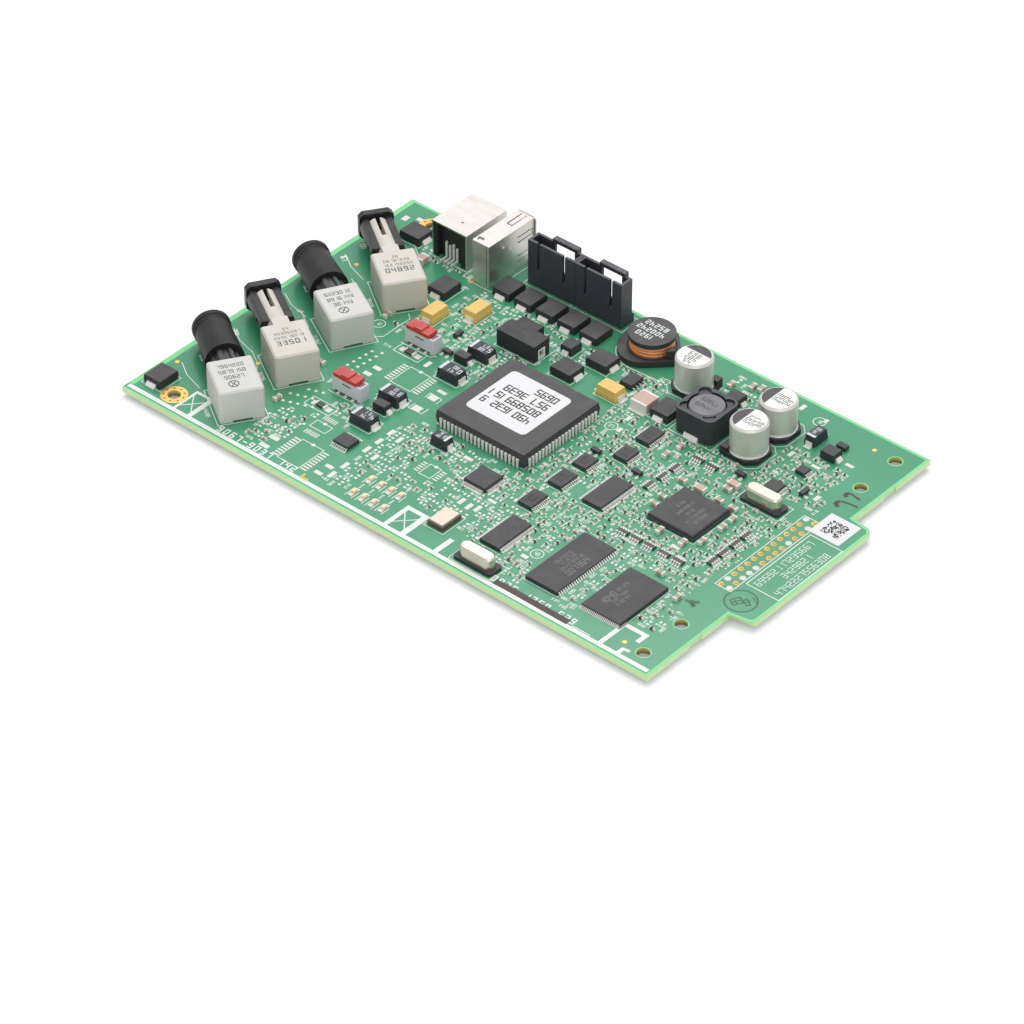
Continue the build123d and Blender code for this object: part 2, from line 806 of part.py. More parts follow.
# Soldered ends of the through-hole pins, under the board
tail_places = []
for x, y, yaw in receiver_ports + transmitter_ports:
    level = on_board(x, y, 0, yaw)
    for along in spread(port_tails_per_row, tail_pitch):
        for across in (-port_tail_rows / 2, port_tail_rows / 2):
            spot = level.from_local_coords((along, across, 0))
            tail_places.append((spot.X + hole_inset_x, spot.Y + hole_inset_y))
for start_x in header_starts:
    for offset in spread(header_pins, tail_pitch):
        tail_places.append((start_x + header_length / 2 + offset, header_y + header_depth / 2))
for offset in spread(2, 2 * tail_pitch):
    for row_y in (square_socket_y + square_block_depth / 2, square_socket_y + square_block_depth):
        tail_places.append((square_middle_x + offset, row_y))
    tail_places.append((flat_middle_x, flat_socket_y + flat_block_depth / 2 + offset))

with BuildPart() as solder_tails:
    for tail_x, tail_y in tail_places:
        with BuildSketch(on_board(tail_x, tail_y, -board_thickness)):
            Rectangle(tail_width, tail_width)
        extrude(amount=-tail_length)
write_part(solder_tails.part, "solder_tails")

# Processor in its square carrier with J leads on four sides
processor_middle_x = processor_x + processor_size / 2
processor_middle_y = processor_y + processor_size / 2

with BuildPart() as processor_body:
    with BuildSketch(on_board(processor_middle_x, processor_middle_y, processor_parting)):
        Rectangle(processor_size, processor_size)
        chamfer(vertices().group_by(Axis.X)[0].sort_by(Axis.Y)[-1], processor_corner_chamfer)
    extrude(amount=processor_top - processor_parting, taper=processor_draft)
    with BuildSketch(on_board(processor_middle_x, processor_middle_y, processor_parting)):
        Rectangle(processor_size, processor_size)
    extrude(amount=processor_bottom - processor_parting, taper=processor_draft)
write_part(processor_body.part, "processor_body")

with BuildPart() as processor_leads:
    for turn in (0.0, 90.0, 180.0, 270.0):
        outward = on_board(processor_middle_x, processor_middle_y, 0, turn)
        for offset in spread(j_leads_per_side, j_lead_pitch):
            face_origin = outward.from_local_coords((offset, -processor_size / 2 - j_lead_thickness, 0))
            with BuildSketch(Plane(origin=face_origin, x_dir=outward.x_dir, z_dir=-outward.y_dir)):
                with BuildLine():
                    Polyline(
                        (-j_lead_foot / 2, 0),
                        (j_lead_foot / 2, 0),
                        (j_lead_shoulder / 2, j_lead_top),
                        (-j_lead_shoulder / 2, j_lead_top),
                        close=True,
                    )
                make_face()
            extrude(amount=-j_lead_thickness)
write_part(processor_leads.part, "processor_leads")

with BuildPart() as processor_label:
    label_x = processor_middle_x + label_offset[0]
    label_y = processor_middle_y + label_offset[1]
    with BuildSketch(on_board(label_x, label_y, processor_top)):
        RectangleRounded(*label_size, label_radius)
    extrude(amount=label_thickness)
write_part(processor_label.part, "processor_label")


def moulded_body(x, y, length, width, heights, draft, turn=0.0):
    """Package that narrows above and below its parting line; heights are bottom, parting and top."""
    bottom, parting, top = heights
    with BuildPart() as body:
        for rise in (top - parting, bottom - parting):
            with BuildSketch(on_board(x, y, parting, turn)):
                Rectangle(length, width)
            extrude(amount=rise, taper=draft)
    return body.part


def gull_leads(place, size, per_side, pitch, lead_width, turn):
    """Two rows of bent leads along a flat package: one long strip cut into leads by a comb."""
    middle_x = place[0] + size[0] / 2
    middle_y = place[1] + size[1] / 2
    half_body = (size[1] if turn else size[0]) / 2
    shoulder = (thin_chip_bottom + thin_chip_top) / 2
    toe = half_body + gull_reach
    with BuildPart() as leads:
        with BuildSketch(upright(middle_x, middle_y, 0, turn)):
            for side in (-1, 1):
                with BuildLine():
                    Polyline(
                        (side * (toe - gull_foot), 0),
                        (side * toe, 0),
                        (side * half_body, shoulder + gull_thickness),
                        (side * half_body, shoulder),
                        close=True,
                    )
                make_face()
        extrude(amount=per_side * pitch / 2, both=True)
        with BuildSketch(on_board(middle_x, middle_y, 0, turn)):
            with GridLocations(0, pitch, 1, per_side):
                Rectangle(3 * toe, lead_width)
        extrude(amount=thin_chip_top, mode=Mode.INTERSECT)
    return leads.part


def end_tabs(x, y, body_length, tab_width, height, reach, turn=0.0):
    """Metal tabs with their solder fillets at both ends of a package."""
    half = body_length / 2
    with BuildPart() as tabs:
        with BuildSketch(upright(x, y, 0, turn)):
            for side in (-1, 1):
                with BuildLine():
                    Polyline(
                        (side * half, 0),
                        (side * (half + reach), 0),
                        (side * (half + reach), tab_thickness / 3),
                        (side * (half + tab_thickness / 2), height),
                        (side * half, height),
                        close=True,
                    )
                make_face()
        extrude(amount=tab_width / 2, both=True)
    return tabs.part


# Memory and flash chips with their fine leads
thin_chip_heights = (thin_chip_bottom, (thin_chip_bottom + thin_chip_top) / 2, thin_chip_top)


def flat_package(place, size, heights):
    """Moulded package given by its low corner and its size."""
    return moulded_body(place[0] + size[0] / 2, place[1] + size[1] / 2, *size, heights, processor_draft)


write_part(flat_package(memory_place, memory_size, thin_chip_heights), "memory_chip_body")
memory_leads = gull_leads(
    memory_place, memory_size, memory_leads_per_side, memory_pitch, memory_lead_width, 0.0
)
write_part(memory_leads, "memory_chip_leads")

write_part(flat_package(flash_place, flash_size, thin_chip_heights), "flash_chip_body")
flash_leads = gull_leads(flash_place, flash_size, flash_leads_per_side, flash_pitch, flash_lead_width, 90.0)
write_part(flash_leads, "flash_chip_leads")

# Square controller package on solder balls, with a bevelled moulding over its carrier
with BuildPart() as controller_package:
    controller_middle_x = controller_place[0] + controller_size / 2
    controller_middle_y = controller_place[1] + controller_size / 2
    with BuildSketch(on_board(controller_middle_x, controller_middle_y)):
        Rectangle(controller_size - controller_ball_inset, controller_size - controller_ball_inset)
    extrude(amount=controller_bottom)
    with BuildSketch(on_board(controller_middle_x, controller_middle_y, controller_bottom)):
        Rectangle(controller_size, controller_size)
    extrude(amount=controller_carrier)
    moulding_size = controller_size - 2 * controller_margin
    with BuildSketch(on_board(controller_middle_x, controller_middle_y, controller_bottom + controller_carrier)):
        Rectangle(moulding_size, moulding_size)
    extrude(amount=controller_top - controller_bottom - controller_carrier)
    chamfer(faces().sort_by(Axis.Z)[-1].edges(), controller_chamfer)
write_part(controller_package.part, "controller_package")

# Small moulded chips
bus_packages = [flat_package(place, bus_chip_size, thin_chip_heights) for place in bus_chips]
write_part(grouped(bus_packages), "bus_chip_bodies")


def package_heights(top):
    """Bottom, parting and top heights of a small flat package."""
    return (thin_chip_bottom, (thin_chip_bottom + top) / 2, top)


logic_packages = [
    flat_package((x, y), (length, width), package_heights(logic_chip_top)) for x, y, length, width in logic_chips
]
logic_packages.append(flat_package(driver_place, driver_size, package_heights(driver_top)))
write_part(grouped(logic_packages), "logic_chip_bodies")

quad_package = flat_package(quad_chip_place, (quad_chip_size, quad_chip_size), package_heights(quad_chip_top))
write_part(quad_package, "quad_chip_body")

# Drum coil: moulded base with a round recess and a terminal tower, flanged core, and copper winding
coil_seat = coil_base_height - coil_recess_depth
coil_wire_low = coil_seat + coil_foot_thickness
coil_wire_high = coil_top - coil_disc_thickness

with BuildPart() as coil_base:
    with BuildSketch(on_board(coil_x, coil_y, 0, coil_turn)):
        with Locations((-coil_base_shift, 0)):
            Rectangle(coil_base_length, coil_base_width)
        fillet(vertices().group_by(Axis.X)[0], coil_base_corner)
        chamfer(vertices().group_by(Axis.X)[-1], coil_base_bevel)
    extrude(amount=coil_base_height)
    with BuildSketch(on_board(coil_x, coil_y, coil_base_height, coil_turn)):
        with Locations(coil_tower_place):
            Rectangle(coil_tower_length, coil_tower_width)
    extrude(amount=coil_tower_height - coil_base_height)
    with BuildSketch(on_board(coil_x, coil_y, coil_seat, coil_turn)):
        Circle(coil_recess_radius)
    extrude(amount=coil_tower_height, mode=Mode.SUBTRACT)
write_part(coil_base.part, "coil_base")

coil_section = upright(coil_x, coil_y, 0, coil_turn)
coil_axis = Axis(coil_section.origin, (0, 0, 1))

with BuildPart() as coil_core:
    with BuildSketch(coil_section):
        with BuildLine():
            Polyline(
                (0, coil_seat),
                (coil_disc_radius, coil_seat),
                (coil_disc_radius, coil_wire_low),
                (coil_hub_radius, coil_wire_low),
                (coil_hub_radius, coil_wire_high),
                (coil_disc_radius, coil_wire_high),
                (coil_disc_radius, coil_top),
                (0, coil_top),
                close=True,
            )
        make_face()
    revolve(axis=coil_axis)
write_part(coil_core.part, "coil_core")

with BuildPart() as coil_winding:
    with BuildSketch(coil_section):
        with BuildLine():
            Polyline(
                (coil_hub_radius, coil_wire_low),
                (coil_wire_radius, coil_wire_low),
                (coil_wire_radius, coil_wire_high),
                (coil_hub_radius, coil_wire_high),
                close=True,
            )
        make_face()
    revolve(axis=coil_axis)
write_part(coil_winding.part, "coil_winding")

# Shielded inductor: square ferrite cup with corner recesses, round core, and folded terminals
with BuildPart() as inductor_shell:
    with BuildSketch(on_board(shield_x, shield_y)):
        RectangleRounded(shield_size, shield_size, shield_corner_radius)
    extrude(amount=shield_height)
    with BuildSketch(on_board(shield_x, shield_y, shield_height)):
        Circle(shield_bore_radius)
    extrude(amount=shield_floor - shield_height, mode=Mode.SUBTRACT)
    with BuildSketch(on_board(shield_x, shield_y, shield_height)):
        with PolarLocations(shield_pocket_reach, 4, start_angle=45.0):
            Circle(shield_pocket_radius)
    extrude(amount=-shield_pocket_depth, mode=Mode.SUBTRACT)
write_part(inductor_shell.part, "inductor_shell")

with BuildPart() as inductor_core:
    with BuildSketch(on_board(shield_x, shield_y, shield_floor)):
        Circle(shield_core_radius)
    extrude(amount=shield_height - shield_core_inset - shield_floor)
    chamfer(edges().group_by(Axis.Z)[-1], shield_edge)
write_part(inductor_core.part, "inductor_core")

inductor_tabs = end_tabs(
    shield_x, shield_y, shield_size, shield_terminal_width, shield_terminal_height, gull_reach, 90.0
)
write_part(inductor_tabs, "inductor_terminals")


def can_outline():
    """Half section of a capacitor can: flared rim, crimp groove and bevelled shoulder."""
    crimp_height = can_seat + can_rim_height
    return (
        (0, can_seat),
        (can_radius, can_seat),
        (can_radius - can_groove, crimp_height),
        (can_radius, crimp_height + can_groove),
        (can_radius, can_top - can_shoulder),
        (can_radius - can_shoulder, can_top),
        (0, can_top),
    )


# Electrolytic capacitors: aluminium cans on chamfered square bases
with BuildPart() as capacitor_cans:
    for x, y, _ in can_places:
        can_section = upright(x, y)
        with BuildSketch(can_section):
            with BuildLine():
                Polyline(*can_outline(), close=True)
            make_face()
        revolve(axis=Axis(can_section.origin, (0, 0, 1)))
write_part(capacitor_cans.part, "capacitor_cans")

with BuildPart() as capacitor_bases:
    for x, y, turn in can_places:
        with BuildSketch(on_board(x, y, 0, turn)):
            Rectangle(can_base_size, can_base_size)
            chamfer(vertices().group_by(Axis.X)[-1], can_base_chamfer)
        extrude(amount=can_seat)
        with BuildSketch(on_board(x, y, can_seat, turn)):
            with GridLocations(can_base_size - can_post_size, can_base_size - can_post_size, 2, 2):
                Rectangle(can_post_size, can_post_size)
            Circle(can_radius + can_post_gap, mode=Mode.SUBTRACT)
            with Locations((can_base_size / 2, 0)):
                Rectangle(can_base_size, can_base_size, mode=Mode.SUBTRACT)
        extrude(amount=can_post_height)
write_part(capacitor_bases.part, "capacitor_bases")


def tantalum_body(x, y, length, width):
    """Moulded capacitor with a straight lower half and a drafted upper half."""
    with BuildPart() as body:
        with BuildSketch(on_board(x, y)):
            Rectangle(length, width)
        extrude(amount=tantalum_parting)
        with BuildSketch(on_board(x, y, tantalum_parting)):
            Rectangle(length - 2 * tantalum_step, width - 2 * tantalum_step)
        extrude(amount=tantalum_top - tantalum_parting, taper=tantalum_draft)
    return body.part


def tantalum_tabs(x, y, length, width):
    """End terminals of a tantalum capacitor, on its short sides."""
    across = min(length, width) * terminal_width_share
    turn = 0.0 if length > width else 90.0
    return end_tabs(
        x, y, max(length, width), across, tantalum_terminal_height, tantalum_terminal_reach, turn
    )


write_part(grouped([tantalum_body(*place) for place in yellow_tantalums]), "yellow_tantalums")
write_part(grouped([tantalum_body(*place) for place in black_tantalums]), "black_tantalums")
terminals = [tantalum_tabs(*place) for place in yellow_tantalums + black_tantalums]
write_part(grouped(terminals), "tantalum_terminals")

# Surge diodes and rectifiers in three package sizes
diode_heights = (diode_base, diode_parting, diode_height)
diode_bodies = []
diode_tabs = []
for places, length, width in (
    (surge_diodes, diode_length, diode_width),
    (small_diodes, small_diode_length, small_diode_width),
    (rectifiers, rectifier_length, rectifier_width),
):
    for x, y, turn in places:
        diode_bodies.append(moulded_body(x, y, length, width, diode_heights, diode_draft, turn))
        tab_width = width * tab_width_share
        diode_tabs.append(end_tabs(x, y, length, tab_width, diode_parting, tab_solder_reach, turn))
write_part(grouped(diode_bodies), "surge_diode_bodies")
write_part(grouped(diode_tabs), "surge_diode_tabs")

# Fuse block with a clip contact in the recess at its end
with BuildPart() as fuse_block:
    with BuildSketch(on_board(fuse_x, fuse_y)):
        Rectangle(fuse_length, fuse_width, align=Align.MIN)
        with Locations((fuse_bump_start, fuse_width)):
            Rectangle(fuse_bump_length, fuse_bump_width, align=Align.MIN)
    extrude(amount=fuse_height)
    with BuildSketch(on_board(fuse_x + fuse_length, fuse_y + fuse_width / 2)):
        Rectangle(2 * fuse_clip_depth, fuse_width - 2 * fuse_clip_inset)
    extrude(amount=fuse_clip_height, mode=Mode.SUBTRACT)
write_part(fuse_block.part, "fuse_block")

with BuildPart() as fuse_clip:
    clip_x = fuse_x + fuse_length - fuse_clip_depth
    clip_width = fuse_width - 2 * fuse_clip_inset
    with BuildSketch(upright(clip_x, fuse_y + fuse_width / 2, 0, 90.0)):
        with Locations((0, fuse_clip_height / 2)):
            Rectangle(clip_width, fuse_clip_height)
            Rectangle(clip_width - 2 * tab_thickness, fuse_clip_height - 2 * tab_thickness, mode=Mode.SUBTRACT)
    extrude(amount=fuse_clip_depth)
write_part(fuse_clip.part, "fuse_clip")

# Crystals: flat insulating base and drawn metal can
with BuildPart() as crystal_bases:
    for x, y, turn in crystals:
        with BuildSketch(on_board(x, y, 0, turn)):
            Rectangle(crystal_base_length, crystal_base_width)
            chamfer(vertices(), crystal_base_corner)
        extrude(amount=crystal_base_height)
write_part(crystal_bases.part, "crystal_bases")

with BuildPart() as crystal_cans:
    for x, y, turn in crystals:
        with BuildSketch(on_board(x, y, crystal_base_height, turn)):
            SlotOverall(crystal_can_length, crystal_can_width)
        extrude(amount=crystal_can_height)
    chamfer(faces().group_by(Axis.Z)[-1].edges(), crystal_edge)
write_part(crystal_cans.part, "crystal_cans")

# Clock oscillator: ceramic body and metal lid
oscillator_x = oscillator_place[0] + oscillator_size[0] / 2
oscillator_y = oscillator_place[1] + oscillator_size[1] / 2

with BuildPart() as oscillator_body:
    with BuildSketch(on_board(oscillator_x, oscillator_y)):
        Rectangle(*oscillator_size)
    extrude(amount=oscillator_body_height)
write_part(oscillator_body.part, "oscillator_body")

with BuildPart() as oscillator_lid:
    with BuildSketch(on_board(oscillator_x, oscillator_y, oscillator_body_height)):
        lid_length = oscillator_size[0] - 2 * oscillator_lid_margin
        lid_width = oscillator_size[1] - 2 * oscillator_lid_margin
        Rectangle(lid_length, lid_width)
    extrude(amount=oscillator_lid_height)
write_part(oscillator_lid.part, "oscillator_lid")

# Larger ceramic capacitors, resistor arrays and single resistors
with BuildPart() as ceramic_capacitor_group:
    for x, y, length, width, height in ceramic_capacitors:
        with BuildSketch(on_board(x, y)):
            Rectangle(length, width)
        extrude(amount=height)
write_part(ceramic_capacitor_group.part, "ceramic_capacitors")

with BuildPart() as resistor_group:
    for x, y, turn in resistor_arrays:
        with BuildSketch(on_board(x, y, 0, turn)):
            Rectangle(array_length, array_width)
        extrude(amount=resistor_height)
    for x, y, turn in single_resistors:
        with BuildSketch(on_board(x, y, 0, turn)):
            Rectangle(resistor_length, resistor_width)
        extrude(amount=resistor_height)
write_part(resistor_group.part, "chip_resistors")

# Paper sticker with its dot code on the tab
with BuildPart() as code_sticker:
    with BuildSketch(on_board(sticker_x, sticker_y)):
        Rectangle(sticker_size, sticker_size)
    extrude(amount=label_thickness)
write_part(code_sticker.part, "code_sticker")
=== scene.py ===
import math
import random

import bpy
from bpy.props import FloatProperty, FloatVectorProperty, IntProperty, PointerProperty
from mathutils import Matrix, Vector


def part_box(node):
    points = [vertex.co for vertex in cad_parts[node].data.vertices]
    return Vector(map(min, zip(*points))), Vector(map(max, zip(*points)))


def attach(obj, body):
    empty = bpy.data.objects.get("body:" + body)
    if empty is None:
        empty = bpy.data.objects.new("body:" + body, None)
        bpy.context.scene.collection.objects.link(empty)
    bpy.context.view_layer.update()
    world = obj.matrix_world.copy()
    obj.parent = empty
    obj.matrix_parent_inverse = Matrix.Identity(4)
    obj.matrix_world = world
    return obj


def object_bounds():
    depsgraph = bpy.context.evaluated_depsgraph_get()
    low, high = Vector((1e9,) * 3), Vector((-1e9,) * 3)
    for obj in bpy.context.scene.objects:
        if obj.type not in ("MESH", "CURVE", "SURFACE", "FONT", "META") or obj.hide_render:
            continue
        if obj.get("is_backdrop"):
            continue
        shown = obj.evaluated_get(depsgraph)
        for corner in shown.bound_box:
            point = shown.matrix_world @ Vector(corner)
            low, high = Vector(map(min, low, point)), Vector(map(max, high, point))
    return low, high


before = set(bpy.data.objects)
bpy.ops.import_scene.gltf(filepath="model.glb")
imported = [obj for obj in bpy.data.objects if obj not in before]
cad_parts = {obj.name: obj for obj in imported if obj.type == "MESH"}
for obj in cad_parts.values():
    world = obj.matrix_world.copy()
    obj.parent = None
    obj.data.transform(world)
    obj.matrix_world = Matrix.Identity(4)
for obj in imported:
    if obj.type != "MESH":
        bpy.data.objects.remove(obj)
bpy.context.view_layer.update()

bl_info = {
    "name": "Fibre network card finish",
    "version": (1, 0, 0),
    "blender": (4, 5, 0),
    "location": "View3D > Sidebar > Network card",
    "description": "Builds the finishes, printed marks and small parts of a fibre-optic network card",
    "category": "Object",
}

# The card's frame: places on the board are given in millimetres from its left corner
MM = 0.001
HOLE_INSET = (12.35, 6.2)
BOARD_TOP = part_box("circuit_board")[1][2]
BOARD_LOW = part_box("circuit_board")[0][2]
CARD = "card"
BOARD_SIZE = (173.5, 110.5)
TAB = (6.7, 31.4, 78.6, 1.1)
RECEIVERS = ((26.9, 13.75, 147.1), (26.3, 54.8, 151.5))
TRANSMITTERS = ((26.85, 34.0, 149.1), (26.55, 75.6, 145.7))
PORT_DEPTH = 14.4
PORT_WIDTH = 11.8
PORT_HEIGHT = 9.4
INK_HEIGHT = 0.02
HOLE_RADIUS = 1.75
HOLES = ((12.35, 6.2), (12.35, 104.3), (167.2, 104.3), (167.2, 90.2), (167.2, 20.3), (167.2, 6.2))


def spot(x, y, height=0.0):
    """A point over the board in metres, from millimetres on the board and a height over its top."""
    return Vector(((x - HOLE_INSET[0]) * MM, (y - HOLE_INSET[1]) * MM, BOARD_TOP + height * MM))


def linear(red, green, blue):
    """A colour given as it looks on screen, 0 to 255, as the linear values that shaders take."""
    def one(value):
        share = value / 255
        return share / 12.92 if share <= 0.04045 else ((share + 0.055) / 1.055) ** 2.4
    return (one(red), one(green), one(blue), 1.0)


# Settings that a user would change


class BoardSettings(bpy.types.PropertyGroup):
    """Colours of the laminate and its printing"""

    mask: FloatVectorProperty(
        name="Solder mask", description="Green coat over the copper", default=linear(70, 156, 116)[:3],
        size=3, subtype="COLOR", min=0.0, max=1.0,
    )
    clear_mask: FloatVectorProperty(
        name="Border", description="Mask over bare laminate along the edges", default=linear(138, 224, 158)[:3],
        size=3, subtype="COLOR", min=0.0, max=1.0,
    )
    border: FloatProperty(
        name="Border width", description="Width of the band without copper", default=1.6 * MM,
        unit="LENGTH", min=0.0, max=0.01,
    )
    print_height: FloatProperty(
        name="Print thickness", description="How far printed marks stand over the mask", default=0.02 * MM,
        unit="LENGTH", min=0.0, max=0.001,
    )


class PartSettings(bpy.types.PropertyGroup):
    """Sizes of the small repeated parts"""

    chip_length: FloatProperty(
        name="Chip length", description="Length of a small ceramic chip", default=1.6 * MM,
        unit="LENGTH", min=0.0001, max=0.01,
    )
    via_radius: FloatProperty(
        name="Via radius", description="Outer radius of a via's pad", default=0.3 * MM,
        unit="LENGTH", min=0.0001, max=0.002,
    )
    lead_width: FloatProperty(
        name="Lead width", description="Width of a small chip's lead", default=0.26 * MM,
        unit="LENGTH", min=0.0001, max=0.002,
    )
    wire_radius: FloatProperty(
        name="Wire radius", description="Radius of the coil's enamelled wire", default=0.4 * MM,
        unit="LENGTH", min=0.0001, max=0.002,
    )
    label_count: IntProperty(
        name="Labels", description="Rows of plain figures printed beside the small parts", default=210, min=0, max=400,
    )
    seed: IntProperty(
        name="Seed", description="Start of every random draw", default=7, min=0, max=9999,
    )


class StageSettings(bpy.types.PropertyGroup):
    """Camera and light"""

    lens: FloatProperty(
        name="Lens", description="Focal length in millimetres on a 36 mm sensor", default=173.14,
        min=20.0, max=400.0,
    )
    azimuth: FloatProperty(
        name="Azimuth", description="Camera's turn round the card", default=math.radians(41.0),
        subtype="ANGLE", min=-math.pi, max=math.pi,
    )
    elevation: FloatProperty(
        name="Elevation", description="Camera's height over the horizon", default=math.radians(38.43),
        subtype="ANGLE", min=0.0, max=math.pi / 2,
    )
    distance: FloatProperty(
        name="Distance", description="From the camera to the point it looks at", default=1.2114,
        unit="LENGTH", min=0.1, max=10.0,
    )
    key_power: FloatProperty(
        name="Key lamp", description="Power of the large overhead lamp", default=5.0,
        unit="POWER", min=0.0, max=1000.0,
    )
    world_strength: FloatProperty(
        name="World", description="Strength of the surrounding light", default=0.7,
        min=0.0, max=5.0,
    )


# Mesh helpers


class Pile:
    """Collects closed shapes with a material slot each, and makes them one piece."""

    def __init__(self):
        self.points = []
        self.faces = []
        self.slots = []
        self.shapes = 0

    def lift(self):
        """A minute rise, different for shapes that follow each other, so that none shares a top face."""
        self.shapes += 1
        return 0.0012 * (self.shapes % 17)

    def add(self, points, faces, slot=0):
        start = len(self.points)
        self.points.extend(points)
        self.faces.extend([tuple(start + index for index in face) for face in faces])
        self.slots.extend([slot] * len(faces))

    def prism(self, outline, low, high, slot=0, top_scale=1.0):
        """An upright prism over a counter-clockwise outline of (x, y) points in metres."""
        count = len(outline)
        middle_x = sum(point[0] for point in outline) / count
        middle_y = sum(point[1] for point in outline) / count
        points = [Vector((x, y, low)) for x, y in outline]
        for x, y in outline:
            points.append(Vector((
                middle_x + (x - middle_x) * top_scale, middle_y + (y - middle_y) * top_scale, high,
            )))
        faces = [tuple(reversed(range(count))), tuple(range(count, 2 * count))]
        for index in range(count):
            after = (index + 1) % count
            faces.append((index, after, count + after, count + index))
        self.add(points, faces, slot)

    def block(self, x, y, length, width, low, high, turn=0.0, slot=0, top_scale=1.0):
        """A box centred at a place on the board, sizes and heights in millimetres."""
        self.prism(turned_rectangle(x, y, length, width, turn), level(low), level(high), slot, top_scale)

    def disc(self, x, y, radius, low, high, sides=16, slot=0):
        """A short cylinder standing on the board."""
        self.prism(circle_points(x, y, radius, sides), level(low), level(high), slot)

    def ring(self, x, y, inner, outer, low, high, sides=20, slot=0, start=0.0, sweep=360.0):
        """A flat ring, or a stretch of one, standing on the board."""
        count = max(3, int(sides * sweep / 360))
        closed = sweep >= 360
        steps = count if closed else count + 1
        points = []
        for step in range(steps):
            angle = math.radians(start + sweep * step / count)
            for radius, height in ((inner, low), (outer, low), (outer, high), (inner, high)):
                points.append(spot(x + radius * math.cos(angle), y + radius * math.sin(angle), height))
        self.tube(points, steps, closed, slot)

    def tube(self, points, steps, closed, slot=0):
        """Joins cross sections of four points, each given low inner, low outer, high outer, high inner."""
        faces = []
        for step in range(steps if closed else steps - 1):
            here = 4 * step
            there = 4 * ((step + 1) % steps)
            for corner in range(4):
                after = (corner + 1) % 4
                faces.append((here + corner, here + after, there + after, there + corner))
        if not closed:
            last = 4 * (steps - 1)
            faces.append((3, 2, 1, 0))
            faces.append((last, last + 1, last + 2, last + 3))
        self.add(points, faces, slot)

    def ribbon(self, route, width, low=0.0, high=0.02, closed=False, slot=0):
        """A flat strip with mitred corners along points on the board, in millimetres."""
        count = len(route)
        high += self.lift()
        points = []
        for index, (x, y) in enumerate(route):
            before = route[index - 1] if closed or index else None
            after = route[(index + 1) % count] if closed or index < count - 1 else None
            side_x, side_y = mitre((x, y), before, after)
            half = width / 2
            for sign, height in ((1, low), (-1, low), (-1, high), (1, high)):
                points.append(spot(x + sign * side_x * half, y + sign * side_y * half, height))
        self.tube(points, count, closed, slot)

    def outline(self, box, gap, low=0.0, width=0.2, bevels=(0.0, 0.0)):
        """A thin closed line round a box (low x, low y, high x, high y), bevelled at its low and high x ends."""
        low_x, low_y, high_x, high_y = box[0] - gap, box[1] - gap, box[2] + gap, box[3] + gap
        route = []
        for x, y, bevel, along, across in (
            (low_x, low_y, bevels[0], 1, 1),
            (high_x, low_y, bevels[1], -1, 1),
            (high_x, high_y, bevels[1], -1, -1),
            (low_x, high_y, bevels[0], 1, -1),
        ):
            if bevel:
                ends = [(x, y + across * bevel), (x + along * bevel, y)]
                route.extend(ends if along == across else ends[::-1])
            else:
                route.append((x, y))
        self.ribbon(route, width, low, low + INK_HEIGHT, closed=True)

    def figures(self, text, x, y, turn, height, low, slot=0, weight=0.15, pitch=0.72):
        """A centred row of plain figures built of short bars; a dash is one bar and a space is left out."""
        width = 0.5 * height
        bar = weight * height
        for index, figure in enumerate(text):
            start = (index - (len(text) - 1) / 2) * pitch * height
            for along, across, length, depth in BARS[figure]:
                bar_x, bar_y = turned(x, y, start + along * width, across * height, turn)
                self.block(
                    bar_x, bar_y, length * width + bar, depth * height + bar,
                    low, low + INK_HEIGHT + self.lift(), turn, slot,
                )

    def make(self, name, materials, body=CARD, slot=None):
        """The collected shapes as one piece that rides on a body."""
        mesh = bpy.data.meshes.new(name)
        mesh.from_pydata([tuple(point) for point in self.points], [], self.faces)
        mesh.polygons.foreach_set("material_index", self.slots)
        return finish_piece(name, mesh, materials, body)


# Bars of each plain figure: place along and across, then length and depth, as shares of its size
TOP, MIDDLE, FOOT = (0.0, 0.5, 1.0, 0.0), (0.0, 0.0, 1.0, 0.0), (0.0, -0.5, 1.0, 0.0)
UPPER_LEFT, UPPER_RIGHT = (-0.5, 0.25, 0.0, 0.5), (0.5, 0.25, 0.0, 0.5)
LOWER_LEFT, LOWER_RIGHT = (-0.5, -0.25, 0.0, 0.5), (0.5, -0.25, 0.0, 0.5)
BARS = {
    "0": (TOP, UPPER_RIGHT, LOWER_RIGHT, FOOT, LOWER_LEFT, UPPER_LEFT),
    "1": (UPPER_RIGHT, LOWER_RIGHT),
    "2": (TOP, UPPER_RIGHT, MIDDLE, LOWER_LEFT, FOOT),
    "3": (TOP, UPPER_RIGHT, MIDDLE, LOWER_RIGHT, FOOT),
    "4": (UPPER_LEFT, MIDDLE, UPPER_RIGHT, LOWER_RIGHT),
    "5": (TOP, UPPER_LEFT, MIDDLE, LOWER_RIGHT, FOOT),
    "6": (TOP, UPPER_LEFT, MIDDLE, LOWER_LEFT, LOWER_RIGHT, FOOT),
    "7": (TOP, UPPER_RIGHT, LOWER_RIGHT),
    "8": (TOP, UPPER_RIGHT, LOWER_RIGHT, FOOT, LOWER_LEFT, UPPER_LEFT, MIDDLE),
    "9": (TOP, UPPER_RIGHT, LOWER_RIGHT, FOOT, UPPER_LEFT, MIDDLE),
    "-": (MIDDLE,),
    " ": (),
}


def finish_piece(name, mesh, materials, body):
    """Links a mesh as a piece, gives it its materials and lets it ride on its body."""
    for material in materials or ():
        mesh.materials.append(material)
    mesh.validate()
    mesh.update()
    piece = bpy.data.objects.new(name, mesh)
    bpy.context.scene.collection.objects.link(piece)
    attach(piece, body)
    return piece


